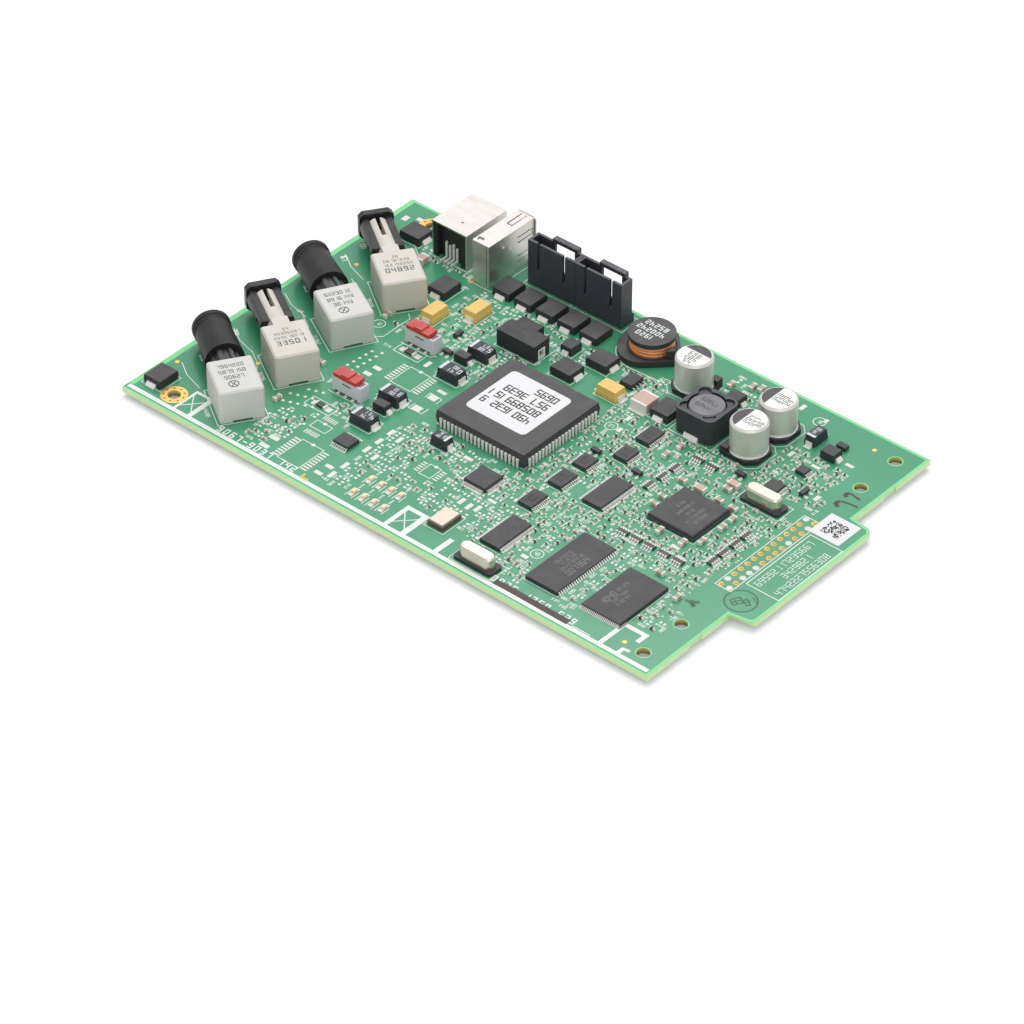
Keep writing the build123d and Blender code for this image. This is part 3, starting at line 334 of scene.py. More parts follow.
def board_box(node):
    """A solid's box on the board in millimetres (low x, low y, high x, high y), and its top over the board."""
    low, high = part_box(node)
    box = (
        low[0] / MM + HOLE_INSET[0],
        low[1] / MM + HOLE_INSET[1],
        high[0] / MM + HOLE_INSET[0],
        high[1] / MM + HOLE_INSET[1],
    )
    return box, (high[2] - BOARD_TOP) / MM


def level(height):
    """Height over the board's top in millimetres, as a height in metres."""
    return BOARD_TOP + height * MM


def turned(x, y, along, across, turn):
    """A point given along and across a turned direction, in millimetres on the board."""
    angle = math.radians(turn)
    return (
        x + along * math.cos(angle) - across * math.sin(angle),
        y + along * math.sin(angle) + across * math.cos(angle),
    )


def turned_rectangle(x, y, length, width, turn):
    """Corners of a rectangle on the board, as (x, y) in metres."""
    corners = []
    for along, across in ((-1, -1), (1, -1), (1, 1), (-1, 1)):
        corner_x, corner_y = turned(x, y, along * length / 2, across * width / 2, turn)
        point = spot(corner_x, corner_y)
        corners.append((point.x, point.y))
    return corners


def circle_points(x, y, radius, sides):
    """Points of a circle on the board, as (x, y) in metres."""
    points = []
    for step in range(sides):
        angle = 2 * math.pi * step / sides
        point = spot(x + radius * math.cos(angle), y + radius * math.sin(angle))
        points.append((point.x, point.y))
    return points


def mitre(here, before, after):
    """Sideways unit of a route at a corner, lengthened so that the strip keeps its width."""
    directions = []
    for start, end in ((before, here), (here, after)):
        if start is not None and end is not None:
            run = math.hypot(end[0] - start[0], end[1] - start[1])
            directions.append(((end[0] - start[0]) / run, (end[1] - start[1]) / run))
    if len(directions) == 1:
        ahead_x, ahead_y = directions[0]
        return -ahead_y, ahead_x
    (in_x, in_y), (out_x, out_y) = directions
    sum_x, sum_y = in_x + out_x, in_y + out_y
    size = math.hypot(sum_x, sum_y)
    ahead_x, ahead_y = sum_x / size, sum_y / size
    share = max(0.4, ahead_x * in_x + ahead_y * in_y)
    return -ahead_y / share, ahead_x / share


# Shader node groups and materials


def group_tree(name, inputs, outputs):
    """An empty shader group with named sockets, and its input and output nodes."""
    tree = bpy.data.node_groups.new(name, "ShaderNodeTree")
    for label, kind, default in inputs:
        socket = tree.interface.new_socket(label, in_out="INPUT", socket_type=kind)
        socket.default_value = default
    for label, kind in outputs:
        tree.interface.new_socket(label, in_out="OUTPUT", socket_type=kind)
    return tree, tree.nodes.new("NodeGroupInput"), tree.nodes.new("NodeGroupOutput")


def moulding_group():
    """Moulded or sintered surface: two scales of grain that vary colour, roughness and height."""
    tree, given, result = group_tree(
        "Moulding grain",
        (
            ("Colour", "NodeSocketColor", (0.5, 0.5, 0.5, 1.0)),
            ("Shade", "NodeSocketColor", (0.4, 0.4, 0.4, 1.0)),
            ("Roughness", "NodeSocketFloat", 0.5),
            ("Grain size", "NodeSocketFloat", 4000.0),
            ("Grain depth", "NodeSocketFloat", 0.2),
            ("Dust", "NodeSocketFloat", 0.1),
        ),
        (("Colour", "NodeSocketColor"), ("Roughness", "NodeSocketFloat"), ("Normal", "NodeSocketVector")),
    )
    nodes, links = tree.nodes, tree.links
    place = nodes.new("ShaderNodeTexCoord")
    fine = nodes.new("ShaderNodeTexNoise")
    fine.inputs["Detail"].default_value = 3.0
    links.new(place.outputs["Object"], fine.inputs["Vector"])
    links.new(given.outputs["Grain size"], fine.inputs["Scale"])
    broad = nodes.new("ShaderNodeTexNoise")
    broad.inputs["Scale"].default_value = 260.0
    broad.inputs["Detail"].default_value = 4.0
    links.new(place.outputs["Object"], broad.inputs["Vector"])
    blend = nodes.new("ShaderNodeMath")
    blend.operation = "MULTIPLY_ADD"
    blend.inputs[1].default_value = 0.45
    links.new(fine.outputs["Fac"], blend.inputs[0])
    half = nodes.new("ShaderNodeMath")
    half.operation = "MULTIPLY"
    half.inputs[1].default_value = 0.55
    links.new(broad.outputs["Fac"], half.inputs[0])
    links.new(half.outputs[0], blend.inputs[2])
    tint = nodes.new("ShaderNodeMix")
    tint.data_type = "RGBA"
    links.new(blend.outputs[0], tint.inputs["Factor"])
    links.new(given.outputs["Shade"], tint.inputs["A"])
    links.new(given.outputs["Colour"], tint.inputs["B"])
    facing = nodes.new("ShaderNodeNewGeometry")
    apart = nodes.new("ShaderNodeSeparateXYZ")
    links.new(facing.outputs["Normal"], apart.inputs[0])
    settled = nodes.new("ShaderNodeMapRange")
    settled.inputs["From Min"].default_value = 0.5
    settled.inputs["From Max"].default_value = 1.0
    links.new(apart.outputs["Z"], settled.inputs["Value"])
    amount = nodes.new("ShaderNodeMath")
    amount.operation = "MULTIPLY"
    links.new(settled.outputs["Result"], amount.inputs[0])
    links.new(given.outputs["Dust"], amount.inputs[1])
    speckle = nodes.new("ShaderNodeMath")
    speckle.operation = "MULTIPLY"
    links.new(amount.outputs[0], speckle.inputs[0])
    links.new(broad.outputs["Fac"], speckle.inputs[1])
    dusty = nodes.new("ShaderNodeMix")
    dusty.data_type = "RGBA"
    dusty.inputs["B"].default_value = linear(225, 224, 222)
    links.new(speckle.outputs[0], dusty.inputs["Factor"])
    links.new(tint.outputs["Result"], dusty.inputs["A"])
    links.new(dusty.outputs["Result"], result.inputs["Colour"])
    rough = nodes.new("ShaderNodeMath")
    rough.operation = "MULTIPLY_ADD"
    rough.inputs[1].default_value = 0.22
    links.new(blend.outputs[0], rough.inputs[0])
    links.new(given.outputs["Roughness"], rough.inputs[2])
    links.new(rough.outputs[0], result.inputs["Roughness"])
    bump = nodes.new("ShaderNodeBump")
    bump.inputs["Distance"].default_value = 0.0001
    links.new(given.outputs["Grain depth"], bump.inputs["Strength"])
    links.new(fine.outputs["Fac"], bump.inputs["Height"])
    links.new(bump.outputs["Normal"], result.inputs["Normal"])
    return tree


def metal_group():
    """Rolled or plated metal: streaks along one direction, with stains and small dents."""
    tree, given, result = group_tree(
        "Rolled metal",
        (
            ("Colour", "NodeSocketColor", (0.7, 0.7, 0.7, 1.0)),
            ("Stain", "NodeSocketColor", (0.5, 0.5, 0.5, 1.0)),
            ("Roughness", "NodeSocketFloat", 0.3),
            ("Streaks", "NodeSocketVector", (900.0, 900.0, 60.0)),
            ("Dents", "NodeSocketFloat", 0.1),
        ),
        (("Colour", "NodeSocketColor"), ("Roughness", "NodeSocketFloat"), ("Normal", "NodeSocketVector")),
    )
    nodes, links = tree.nodes, tree.links
    place = nodes.new("ShaderNodeTexCoord")
    stretch = nodes.new("ShaderNodeVectorMath")
    stretch.operation = "MULTIPLY"
    links.new(place.outputs["Object"], stretch.inputs[0])
    links.new(given.outputs["Streaks"], stretch.inputs[1])
    streak = nodes.new("ShaderNodeTexNoise")
    streak.inputs["Scale"].default_value = 2.0
    streak.inputs["Detail"].default_value = 5.0
    links.new(stretch.outputs["Vector"], streak.inputs["Vector"])
    cloud = nodes.new("ShaderNodeTexNoise")
    cloud.inputs["Scale"].default_value = 420.0
    links.new(place.outputs["Object"], cloud.inputs["Vector"])
    tint = nodes.new("ShaderNodeMix")
    tint.data_type = "RGBA"
    links.new(cloud.outputs["Fac"], tint.inputs["Factor"])
    links.new(given.outputs["Stain"], tint.inputs["A"])
    links.new(given.outputs["Colour"], tint.inputs["B"])
    links.new(tint.outputs["Result"], result.inputs["Colour"])
    rough = nodes.new("ShaderNodeMath")
    rough.operation = "MULTIPLY_ADD"
    rough.inputs[1].default_value = 0.25
    links.new(streak.outputs["Fac"], rough.inputs[0])
    links.new(given.outputs["Roughness"], rough.inputs[2])
    links.new(rough.outputs[0], result.inputs["Roughness"])
    bump = nodes.new("ShaderNodeBump")
    bump.inputs["Distance"].default_value = 0.0002
    links.new(given.outputs["Dents"], bump.inputs["Strength"])
    links.new(streak.outputs["Fac"], bump.inputs["Height"])
    links.new(bump.outputs["Normal"], result.inputs["Normal"])
    return tree


GROUPS = {}
MATERIALS = {}


def shared_group(name, maker):
    """A shader group, built once."""
    if name not in GROUPS:
        GROUPS[name] = maker()
    return GROUPS[name]


def plain_material(name, group, values, metallic=0.0, specular=0.5, coat=0.0):
    """A material whose colour, roughness and normal come from a shared group."""
    material = bpy.data.materials.new(name)
    material.use_nodes = True
    nodes, links = material.node_tree.nodes, material.node_tree.links
    shader = nodes["Principled BSDF"]
    shader.inputs["Metallic"].default_value = metallic
    shader.inputs["Specular IOR Level"].default_value = specular
    shader.inputs["Coat Weight"].default_value = coat
    surface = nodes.new("ShaderNodeGroup")
    surface.node_tree = group
    for label, value in values.items():
        surface.inputs[label].default_value = value
    links.new(surface.outputs["Colour"], shader.inputs["Base Color"])
    links.new(surface.outputs["Roughness"], shader.inputs["Roughness"])
    links.new(surface.outputs["Normal"], shader.inputs["Normal"])
    MATERIALS[name] = material
    return material


def moulded(name, colour, shade, roughness=0.45, grain=4000.0, depth=0.2, dust=0.1, specular=0.5, coat=0.0):
    """A moulded, fired or printed material."""
    group = shared_group("moulding", moulding_group)
    values = {
        "Colour": linear(*colour),
        "Shade": linear(*shade),
        "Roughness": roughness,
        "Grain size": grain,
        "Grain depth": depth,
        "Dust": dust,
    }
    return plain_material(name, group, values, 0.0, specular, coat)


def metal(name, colour, stain, roughness=0.25, streaks=(900.0, 900.0, 60.0), dents=0.1, share=1.0):
    """A plated or drawn metal."""
    group = shared_group("metal", metal_group)
    values = {
        "Colour": linear(*colour),
        "Stain": linear(*stain),
        "Roughness": roughness,
        "Streaks": streaks,
        "Dents": dents,
    }
    return plain_material(name, group, values, share)


def board_material(settings):
    """Laminate: glossy green mask above and below, bare resin-coloured glass on the cut edges."""
    material = bpy.data.materials.new("board_laminate")
    material.use_nodes = True
    nodes, links = material.node_tree.nodes, material.node_tree.links
    shader = nodes["Principled BSDF"]
    shader.inputs["Specular IOR Level"].default_value = 1.0
    place = nodes.new("ShaderNodeTexCoord")
    cloud = nodes.new("ShaderNodeTexNoise")
    cloud.inputs["Scale"].default_value = 32.0
    cloud.inputs["Detail"].default_value = 3.0
    links.new(place.outputs["Object"], cloud.inputs["Vector"])
    weave = nodes.new("ShaderNodeTexWave")
    weave.inputs["Scale"].default_value = 1500.0
    weave.inputs["Distortion"].default_value = 1.5
    links.new(place.outputs["Object"], weave.inputs["Vector"])
    green = nodes.new("ShaderNodeMix")
    green.data_type = "RGBA"
    mask = tuple(settings.mask)
    green.inputs["A"].default_value = tuple(value * 0.86 for value in mask) + (1.0,)
    green.inputs["B"].default_value = tuple(min(1.0, value * 1.1) for value in mask) + (1.0,)
    links.new(cloud.outputs["Fac"], green.inputs["Factor"])
    edge = nodes.new("ShaderNodeMix")
    edge.data_type = "RGBA"
    edge.inputs["A"].default_value = linear(204, 232, 164)
    edge.inputs["B"].default_value = linear(214, 238, 178)
    links.new(weave.outputs["Fac"], edge.inputs["Factor"])
    facing = nodes.new("ShaderNodeNewGeometry")
    apart = nodes.new("ShaderNodeSeparateXYZ")
    links.new(facing.outputs["True Normal"], apart.inputs[0])
    upright = nodes.new("ShaderNodeMath")
    upright.operation = "ABSOLUTE"
    links.new(apart.outputs["Z"], upright.inputs[0])
    flat = nodes.new("ShaderNodeMath")
    flat.operation = "GREATER_THAN"
    flat.inputs[1].default_value = 0.5
    links.new(upright.outputs[0], flat.inputs[0])
    colour = nodes.new("ShaderNodeMix")
    colour.data_type = "RGBA"
    links.new(flat.outputs[0], colour.inputs["Factor"])
    links.new(edge.outputs["Result"], colour.inputs["A"])
    links.new(green.outputs["Result"], colour.inputs["B"])
    links.new(colour.outputs["Result"], shader.inputs["Base Color"])
    rough = nodes.new("ShaderNodeMapRange")
    rough.inputs["To Min"].default_value = 0.12
    rough.inputs["To Max"].default_value = 0.24
    links.new(cloud.outputs["Fac"], rough.inputs["Value"])
    links.new(rough.outputs["Result"], shader.inputs["Roughness"])
    bump = nodes.new("ShaderNodeBump")
    bump.inputs["Strength"].default_value = 0.05
    bump.inputs["Distance"].default_value = 0.0001
    links.new(weave.outputs["Fac"], bump.inputs["Height"])
    links.new(bump.outputs["Normal"], shader.inputs["Normal"])
    MATERIALS["board_laminate"] = material
    return material


def make_materials(settings):
    """Every finish on the card."""
    board_material(settings)
    border = [round(255 * value ** (1 / 2.2)) for value in settings.clear_mask]
    moulded("border_mask", border, [value - 14 for value in border], 0.3, 900.0, 0.03, 0.0)
    moulded("via_ring", (226, 230, 186), (206, 214, 160), 0.32, 1500.0, 0.03, 0.0)
    # White print, also used as painted highlights on the flat socket shell's dimples
    moulded("white_print_and_highlight", (240, 243, 240), (224, 230, 224), 0.5, 2500.0, 0.1, 0.0)
    # Marker ink, also used as painted shade in the small vias round the mounting holes
    moulded("brown_ink_and_via_shade", (86, 66, 58), (70, 52, 46), 0.4, 700.0, 0.1, 0.0)
    moulded("grey_ink", (78, 112, 92), (70, 104, 84), 0.5, 900.0, 0.05, 0.0)
    moulded("yellow_print", (226, 204, 90), (210, 186, 76), 0.5, 1500.0, 0.05, 0.0)
    moulded("port_receiver", (212, 211, 207), (201, 200, 196), 0.46, 2600.0, 0.12, 0.5)
    moulded("port_transmitter", (214, 208, 198), (202, 196, 186), 0.46, 2600.0, 0.12, 0.5)
    moulded("barrel_dark", (74, 76, 80), (56, 58, 62), 0.45, 2400.0, 0.15, 0.15)
    moulded("cap_rubber", (30, 30, 32), (22, 22, 24), 0.34, 1800.0, 0.2, 0.04, 0.35)
    moulded("cap_black", (34, 34, 37), (26, 26, 29), 0.26, 1200.0, 0.08, 0.05)
    moulded("switch_grey", (218, 218, 224), (206, 206, 213), 0.48, 2600.0, 0.2, 0.1)
    moulded("slider_red", (205, 62, 56), (184, 48, 44), 0.42, 2600.0, 0.15, 0.15)
    # Black of the socket blocks, also used as painted shade in the socket shells' slits, slots and seam
    moulded("socket_black_and_slot_shade", (34, 35, 38), (26, 27, 30), 0.45, 2600.0, 0.2, 0.06)
    moulded("header_black", (60, 62, 72), (50, 52, 61), 0.36, 2200.0, 0.25, 0.16)
    moulded("chip_top", (58, 58, 62), (49, 49, 53), 0.46, 5200.0, 0.3, 0.08)
    moulded("processor_top", (68, 66, 69), (58, 57, 60), 0.5, 4200.0, 0.35, 0.1)
    moulded("chip_mark", (150, 150, 148), (132, 132, 130), 0.6, 3000.0, 0.05, 0.0)
    moulded("bright_mark", (226, 228, 234), (206, 208, 216), 0.55, 3000.0, 0.05, 0.0)
    moulded("dark_mark", (84, 84, 84), (66, 66, 66), 0.6, 3000.0, 0.05, 0.0)
    moulded("label_paper", (236, 236, 238), (226, 226, 229), 0.62, 3200.0, 0.12, 0.0)
    moulded("label_ink", (30, 30, 32), (20, 20, 22), 0.5, 3200.0, 0.05, 0.0)
    moulded("coil_ferrite", (52, 53, 56), (42, 43, 46), 0.36, 1500.0, 0.22, 0.12)
    moulded("coil_base", (52, 54, 57), (42, 44, 47), 0.36, 1800.0, 0.15, 0.1)
    moulded("shield_ferrite", (54, 57, 62), (45, 48, 53), 0.42, 2000.0, 0.25, 0.12)
    moulded("core_ferrite", (116, 115, 123), (102, 101, 109), 0.5, 2600.0, 0.3, 0.2)
    moulded("tantalum_yellow", (240, 204, 118), (230, 188, 98), 0.42, 2600.0, 0.12, 0.1)
    moulded("tantalum_black", (52, 55, 62), (42, 45, 51), 0.4, 2600.0, 0.2, 0.06)
    moulded("diode_black", (50, 50, 52), (41, 41, 43), 0.48, 3400.0, 0.3, 0.12)
    moulded("ceramic_pink", (212, 178, 166), (200, 166, 154), 0.42, 2200.0, 0.1, 0.05)
    moulded("ceramic_tan", (184, 168, 146), (166, 150, 128), 0.42, 2600.0, 0.1, 0.1)
    moulded("ceramic_dark", (70, 64, 60), (54, 50, 47), 0.36, 2600.0, 0.1, 0.1)
    moulded("oscillator_ceramic", (96, 82, 66), (82, 70, 56), 0.45, 2200.0, 0.1, 0.1)
    moulded("insulator", (44, 44, 46), (34, 34, 36), 0.5, 2200.0, 0.1, 0.1)
    moulded("hole_wall", (190, 176, 104), (168, 154, 86), 0.5, 1800.0, 0.2, 0.0)
    # Painted shade: dark red for the shaded slider in the switches' slots, also used for the shaded gap under the
    # switches
    moulded("slot_shade", (92, 46, 48), (70, 38, 40), 0.6, 1800.0, 0.1, 0.0)
    metal("gold_pad", (236, 202, 128), (224, 184, 100), 0.3, (500.0, 500.0, 500.0), 0.05)
    metal("tin_lead", (248, 247, 243), (236, 234, 229), 0.26, (700.0, 700.0, 90.0), 0.1, 0.2)
    moulded("tin_pad", (232, 232, 224), (214, 214, 206), 0.32, 1500.0, 0.15, 0.0, 0.8)
    metal("shell_metal", (231, 227, 222), (218, 213, 207), 0.27, (60.0, 700.0, 700.0), 0.01)
    metal("can_side", (236, 234, 228), (222, 220, 213), 0.32, (40.0, 40.0, 900.0), 0.04, 0.65)
    metal("crystal_metal", (232, 223, 208), (222, 212, 196), 0.18, (40.0, 120.0, 120.0), 0.0)
    metal("copper_wire", (252, 180, 120), (232, 142, 86), 0.22, (300.0, 300.0, 900.0), 0.1, 0.4)
    metal("lid_gold", (226, 212, 198), (218, 202, 184), 0.4, (400.0, 400.0, 400.0), 0.04, 0.5)
    moulded("can_top", (242, 242, 239), (233, 233, 230), 0.46, 2200.0, 0.06, 0.0)
    moulded("can_print", (92, 88, 92), (78, 74, 78), 0.5, 2200.0, 0.06, 0.0)
    moulded("can_figures", (62, 60, 64), (50, 48, 52), 0.5, 2200.0, 0.06, 0.0)
    metal("can_rim", (248, 248, 246), (240, 240, 238), 0.2, (200.0, 200.0, 200.0), 0.02, 0.3)
    moulded("core_mark", (70, 68, 74), (60, 58, 64), 0.5, 2600.0, 0.05, 0.0)
    moulded("faint_mark", (104, 103, 104), (94, 93, 94), 0.6, 3000.0, 0.05, 0.0)
    moulded("lamp_resin", (244, 226, 196), (234, 212, 178), 0.3, 2600.0, 0.05, 0.0)


NODE_FINISH = {
    "circuit_board": "board_laminate",
    "hole_lands": "gold_pad",
    "receiver_housing_1": "port_receiver",
    "receiver_housing_2": "port_receiver",
    "receiver_barrel_1": "barrel_dark",
    "receiver_barrel_2": "barrel_dark",
    "transmitter_housing_1": "port_transmitter",
    "transmitter_housing_2": "port_transmitter",
    "round_dust_cap_1": "cap_rubber",
    "round_dust_cap_2": "cap_rubber",
    "clip_dust_cap_1": "cap_black",
    "clip_dust_cap_2": "cap_black",
    "solder_tails": "tin_lead",
    "switch_housing_1": "switch_grey",
    "switch_housing_2": "switch_grey",
    "switch_slider_1": "slider_red",
    "switch_slider_2": "slider_red",
    "switch_terminals": "tin_lead",
    "square_socket_shell": "shell_metal",
    "square_socket_block": "socket_black_and_slot_shade",
    "square_socket_contacts": "tin_lead",
    "flat_socket_shell": "shell_metal",
    "flat_socket_block": "socket_black_and_slot_shade",
    "header_housing_1": "header_black",
    "header_housing_2": "header_black",
    "header_pins": "gold_pad",
    "processor_body": "processor_top",
    "processor_leads": "tin_lead",
    "processor_label": "label_paper",
    "memory_chip_body": "chip_top",
    "memory_chip_leads": "tin_lead",
    "flash_chip_body": "chip_top",
    "flash_chip_leads": "tin_lead",
    "controller_package": "chip_top",
    "bus_chip_bodies": "chip_top",
    "logic_chip_bodies": "chip_top",
    "quad_chip_body": "chip_top",
    "coil_base": "coil_base",
    "coil_core": "coil_ferrite",
    "coil_winding": "copper_wire",
    "inductor_shell": "shield_ferrite",
    "inductor_core": "core_ferrite",
    "inductor_terminals": "tin_lead",
    "capacitor_cans": "can_side",
    "capacitor_bases": "insulator",
    "yellow_tantalums": "tantalum_yellow",
    "black_tantalums": "tantalum_black",
    "tantalum_terminals": "tin_lead",
    "surge_diode_bodies": "diode_black",
    "surge_diode_tabs": "tin_lead",
    "fuse_block": "insulator",
    "fuse_clip": "tin_lead",
    "crystal_bases": "insulator",
    "crystal_cans": "crystal_metal",
    "oscillator_body": "oscillator_ceramic",
    "oscillator_lid": "lid_gold",
    "ceramic_capacitors": "ceramic_pink",
    "chip_resistors": "ceramic_dark",
    "code_sticker": "label_paper",
}


# Geometry Nodes


def node_tree(name, inputs):
    """An empty geometry tree with a geometry input, named inputs and one geometry output."""
    tree = bpy.data.node_groups.new(name, "GeometryNodeTree")
    tree.interface.new_socket("Geometry", in_out="INPUT", socket_type="NodeSocketGeometry")
    for label, kind, default in inputs:
        socket = tree.interface.new_socket(label, in_out="INPUT", socket_type=kind)
        if default is not None:
            socket.default_value = default
    tree.interface.new_socket("Geometry", in_out="OUTPUT", socket_type="NodeSocketGeometry")
    return tree, tree.nodes.new("NodeGroupInput"), tree.nodes.new("NodeGroupOutput")


def coloured(tree, geometry, material_socket):
    """A Set Material node on a geometry socket."""
    node = tree.nodes.new("GeometryNodeSetMaterial")
    tree.links.new(geometry, node.inputs["Geometry"])
    tree.links.new(material_socket, node.inputs["Material"])
    return node.outputs["Geometry"]


def cube_at(tree, size, move):
    """A box in a tree, sized and moved by vector sockets or plain values."""
    cube = tree.nodes.new("GeometryNodeMeshCube")
    place = tree.nodes.new("GeometryNodeTransform")
    tree.links.new(cube.outputs["Mesh"], place.inputs["Geometry"])
    for value, socket in ((size, cube.inputs["Size"]), (move, place.inputs["Translation"])):
        if isinstance(value, bpy.types.NodeSocket):
            tree.links.new(value, socket)
        else:
            socket.default_value = value
    return place.outputs["Geometry"]


def vector_of(tree, parts):
    """A vector made of numbers or value sockets."""
    node = tree.nodes.new("ShaderNodeCombineXYZ")
    for index, part in enumerate(parts):
        if isinstance(part, bpy.types.NodeSocket):
            tree.links.new(part, node.inputs[index])
        else:
            node.inputs[index].default_value = part
    return node.outputs[0]


def calculated(tree, operation, first, second):
    """A Math node on two sockets or numbers."""
    node = tree.nodes.new("ShaderNodeMath")
    node.operation = operation
    for index, value in enumerate((first, second)):
        if isinstance(value, bpy.types.NodeSocket):
            tree.links.new(value, node.inputs[index])
        else:
            node.inputs[index].default_value = value
    return node.outputs[0]


def joined(tree, parts):
    """Several geometry sockets as one."""
    node = tree.nodes.new("GeometryNodeJoinGeometry")
    for part in parts:
        tree.links.new(part, node.inputs["Geometry"])
    return node.outputs["Geometry"]


def spread_on_points(tree, given, shape, result):
    """Places a shape on every input point, turned by its turn and scaled by its size, as real mesh."""
    instances = tree.nodes.new("GeometryNodeInstanceOnPoints")
    tree.links.new(given.outputs["Geometry"], instances.inputs["Points"])
    tree.links.new(shape, instances.inputs["Instance"])
    turn = tree.nodes.new("GeometryNodeInputNamedAttribute")
    turn.data_type = "FLOAT"
    turn.inputs["Name"].default_value = "turn"
    spin = tree.nodes.new("FunctionNodeEulerToRotation")
    tree.links.new(vector_of(tree, (0.0, 0.0, turn.outputs["Attribute"])), spin.inputs[0])
    tree.links.new(spin.outputs[0], instances.inputs["Rotation"])
    size = tree.nodes.new("GeometryNodeInputNamedAttribute")
    size.data_type = "FLOAT_VECTOR"
    size.inputs["Name"].default_value = "size"
    tree.links.new(size.outputs["Attribute"], instances.inputs["Scale"])
    real = tree.nodes.new("GeometryNodeRealizeInstances")
    tree.links.new(instances.outputs["Instances"], real.inputs["Geometry"])
    tree.links.new(real.outputs["Geometry"], result.inputs["Geometry"])
    return tree


def chip_tree():
    """A ceramic chip: a body between two metal ends."""
    tree, given, result = node_tree(
        "Small chips",
        (
            ("Length", "NodeSocketFloat", 1.6 * MM),
            ("Width", "NodeSocketFloat", 0.8 * MM),
            ("Height", "NodeSocketFloat", 0.7 * MM),
            ("End", "NodeSocketFloat", 0.32 * MM),
            ("Body material", "NodeSocketMaterial", None),
            ("End material", "NodeSocketMaterial", None),
        ),
    )
    length, width, height, end = (given.outputs[label] for label in ("Length", "Width", "Height", "End"))
    middle = calculated(tree, "SUBTRACT", length, calculated(tree, "MULTIPLY", end, 2.0))
    body = cube_at(
        tree,
        vector_of(tree, (middle, calculated(tree, "MULTIPLY", width, 0.94), calculated(tree, "MULTIPLY", height, 0.94))),
        vector_of(tree, (0.0, 0.0, calculated(tree, "MULTIPLY", height, 0.47))),
    )
    shapes = [coloured(tree, body, given.outputs["Body material"])]
    offset = calculated(tree, "MULTIPLY", calculated(tree, "SUBTRACT", length, end), 0.5)
    for sign in (-1.0, 1.0):
        cap = cube_at(
            tree,
            vector_of(tree, (end, width, height)),
            vector_of(tree, (
                calculated(tree, "MULTIPLY", offset, sign), 0.0, calculated(tree, "MULTIPLY", height, 0.5),
            )),
        )
        shapes.append(coloured(tree, cap, given.outputs["End material"]))
    return spread_on_points(tree, given, joined(tree, shapes), result)


def lead_tree():
    """A gull-wing lead: shoulder, slanted shin and foot."""
    tree, given, result = node_tree(
        "Bent leads",
        (
            ("Width", "NodeSocketFloat", 0.26 * MM),
            ("Reach", "NodeSocketFloat", 1.0 * MM),
            ("Height", "NodeSocketFloat", 0.6 * MM),
            ("Thickness", "NodeSocketFloat", 0.12 * MM),
            ("Material", "NodeSocketMaterial", None),
        ),
    )
    width, reach, height, thick = (given.outputs[label] for label in ("Width", "Reach", "Height", "Thickness"))
    foot_length = calculated(tree, "MULTIPLY", reach, 0.55)
    foot = cube_at(
        tree,
        vector_of(tree, (foot_length, width, thick)),
        vector_of(tree, (
            calculated(tree, "SUBTRACT", reach, calculated(tree, "MULTIPLY", foot_length, 0.5)),
            0.0,
            calculated(tree, "MULTIPLY", thick, 0.5),
        )),
    )
    shin = cube_at(
        tree,
        vector_of(tree, (thick, width, height)),
        vector_of(tree, (
            calculated(tree, "MULTIPLY", reach, 0.42), 0.0, calculated(tree, "MULTIPLY", height, 0.5),
        )),
    )
    shoulder_length = calculated(tree, "MULTIPLY", reach, 0.45)
    shoulder = cube_at(
        tree,
        vector_of(tree, (shoulder_length, width, thick)),
        vector_of(tree, (calculated(tree, "MULTIPLY", shoulder_length, 0.5), 0.0, height)),
    )
    shape = coloured(tree, joined(tree, (foot, shin, shoulder)), given.outputs["Material"])
    return spread_on_points(tree, given, shape, result)


def ring_tree():
    """A flat plated ring with a filled eye, as on a via or a component hole."""
    tree, given, result = node_tree(
        "Plated holes",
        (
            ("Radius", "NodeSocketFloat", 0.3 * MM),
            ("Hole", "NodeSocketFloat", 0.14 * MM),
            ("Thickness", "NodeSocketFloat", 0.03 * MM),
            ("Sides", "NodeSocketInt", 8),
            ("Ring material", "NodeSocketMaterial", None),
            ("Eye material", "NodeSocketMaterial", None),
        ),
    )
    nodes, links = tree.nodes, tree.links
    outer, hole, thick = (given.outputs[label] for label in ("Radius", "Hole", "Thickness"))
    path = nodes.new("GeometryNodeCurvePrimitiveCircle")
    links.new(given.outputs["Sides"], path.inputs["Resolution"])
    links.new(calculated(tree, "MULTIPLY", calculated(tree, "ADD", outer, hole), 0.5), path.inputs["Radius"])
    section = nodes.new("GeometryNodeCurvePrimitiveQuadrilateral")
    links.new(calculated(tree, "SUBTRACT", outer, hole), section.inputs["Width"])
    links.new(thick, section.inputs["Height"])
    sweep = nodes.new("GeometryNodeCurveToMesh")
    links.new(path.outputs["Curve"], sweep.inputs["Curve"])
    links.new(section.outputs["Curve"], sweep.inputs["Profile Curve"])
    eye = nodes.new("GeometryNodeMeshCylinder")
    links.new(given.outputs["Sides"], eye.inputs["Vertices"])
    links.new(calculated(tree, "MULTIPLY", hole, 1.02), eye.inputs["Radius"])
    links.new(calculated(tree, "MULTIPLY", thick, 0.6), eye.inputs["Depth"])
    shapes = (
        coloured(tree, sweep.outputs["Mesh"], given.outputs["Ring material"]),
        coloured(tree, eye.outputs["Mesh"], given.outputs["Eye material"]),
    )
    return spread_on_points(tree, given, joined(tree, shapes), result)


def pad_tree():
    """A bare rectangular pad, one millimetre square before its own size is applied."""
    tree, given, result = node_tree(
        "Bare pads",
        (("Thickness", "NodeSocketFloat", 0.04 * MM), ("Material", "NodeSocketMaterial", None)),
    )
    thick = given.outputs["Thickness"]
    pad = cube_at(
        tree, vector_of(tree, (MM, MM, thick)), vector_of(tree, (0.0, 0.0, calculated(tree, "MULTIPLY", thick, 0.5))),
    )
    return spread_on_points(tree, given, coloured(tree, pad, given.outputs["Material"]), result)


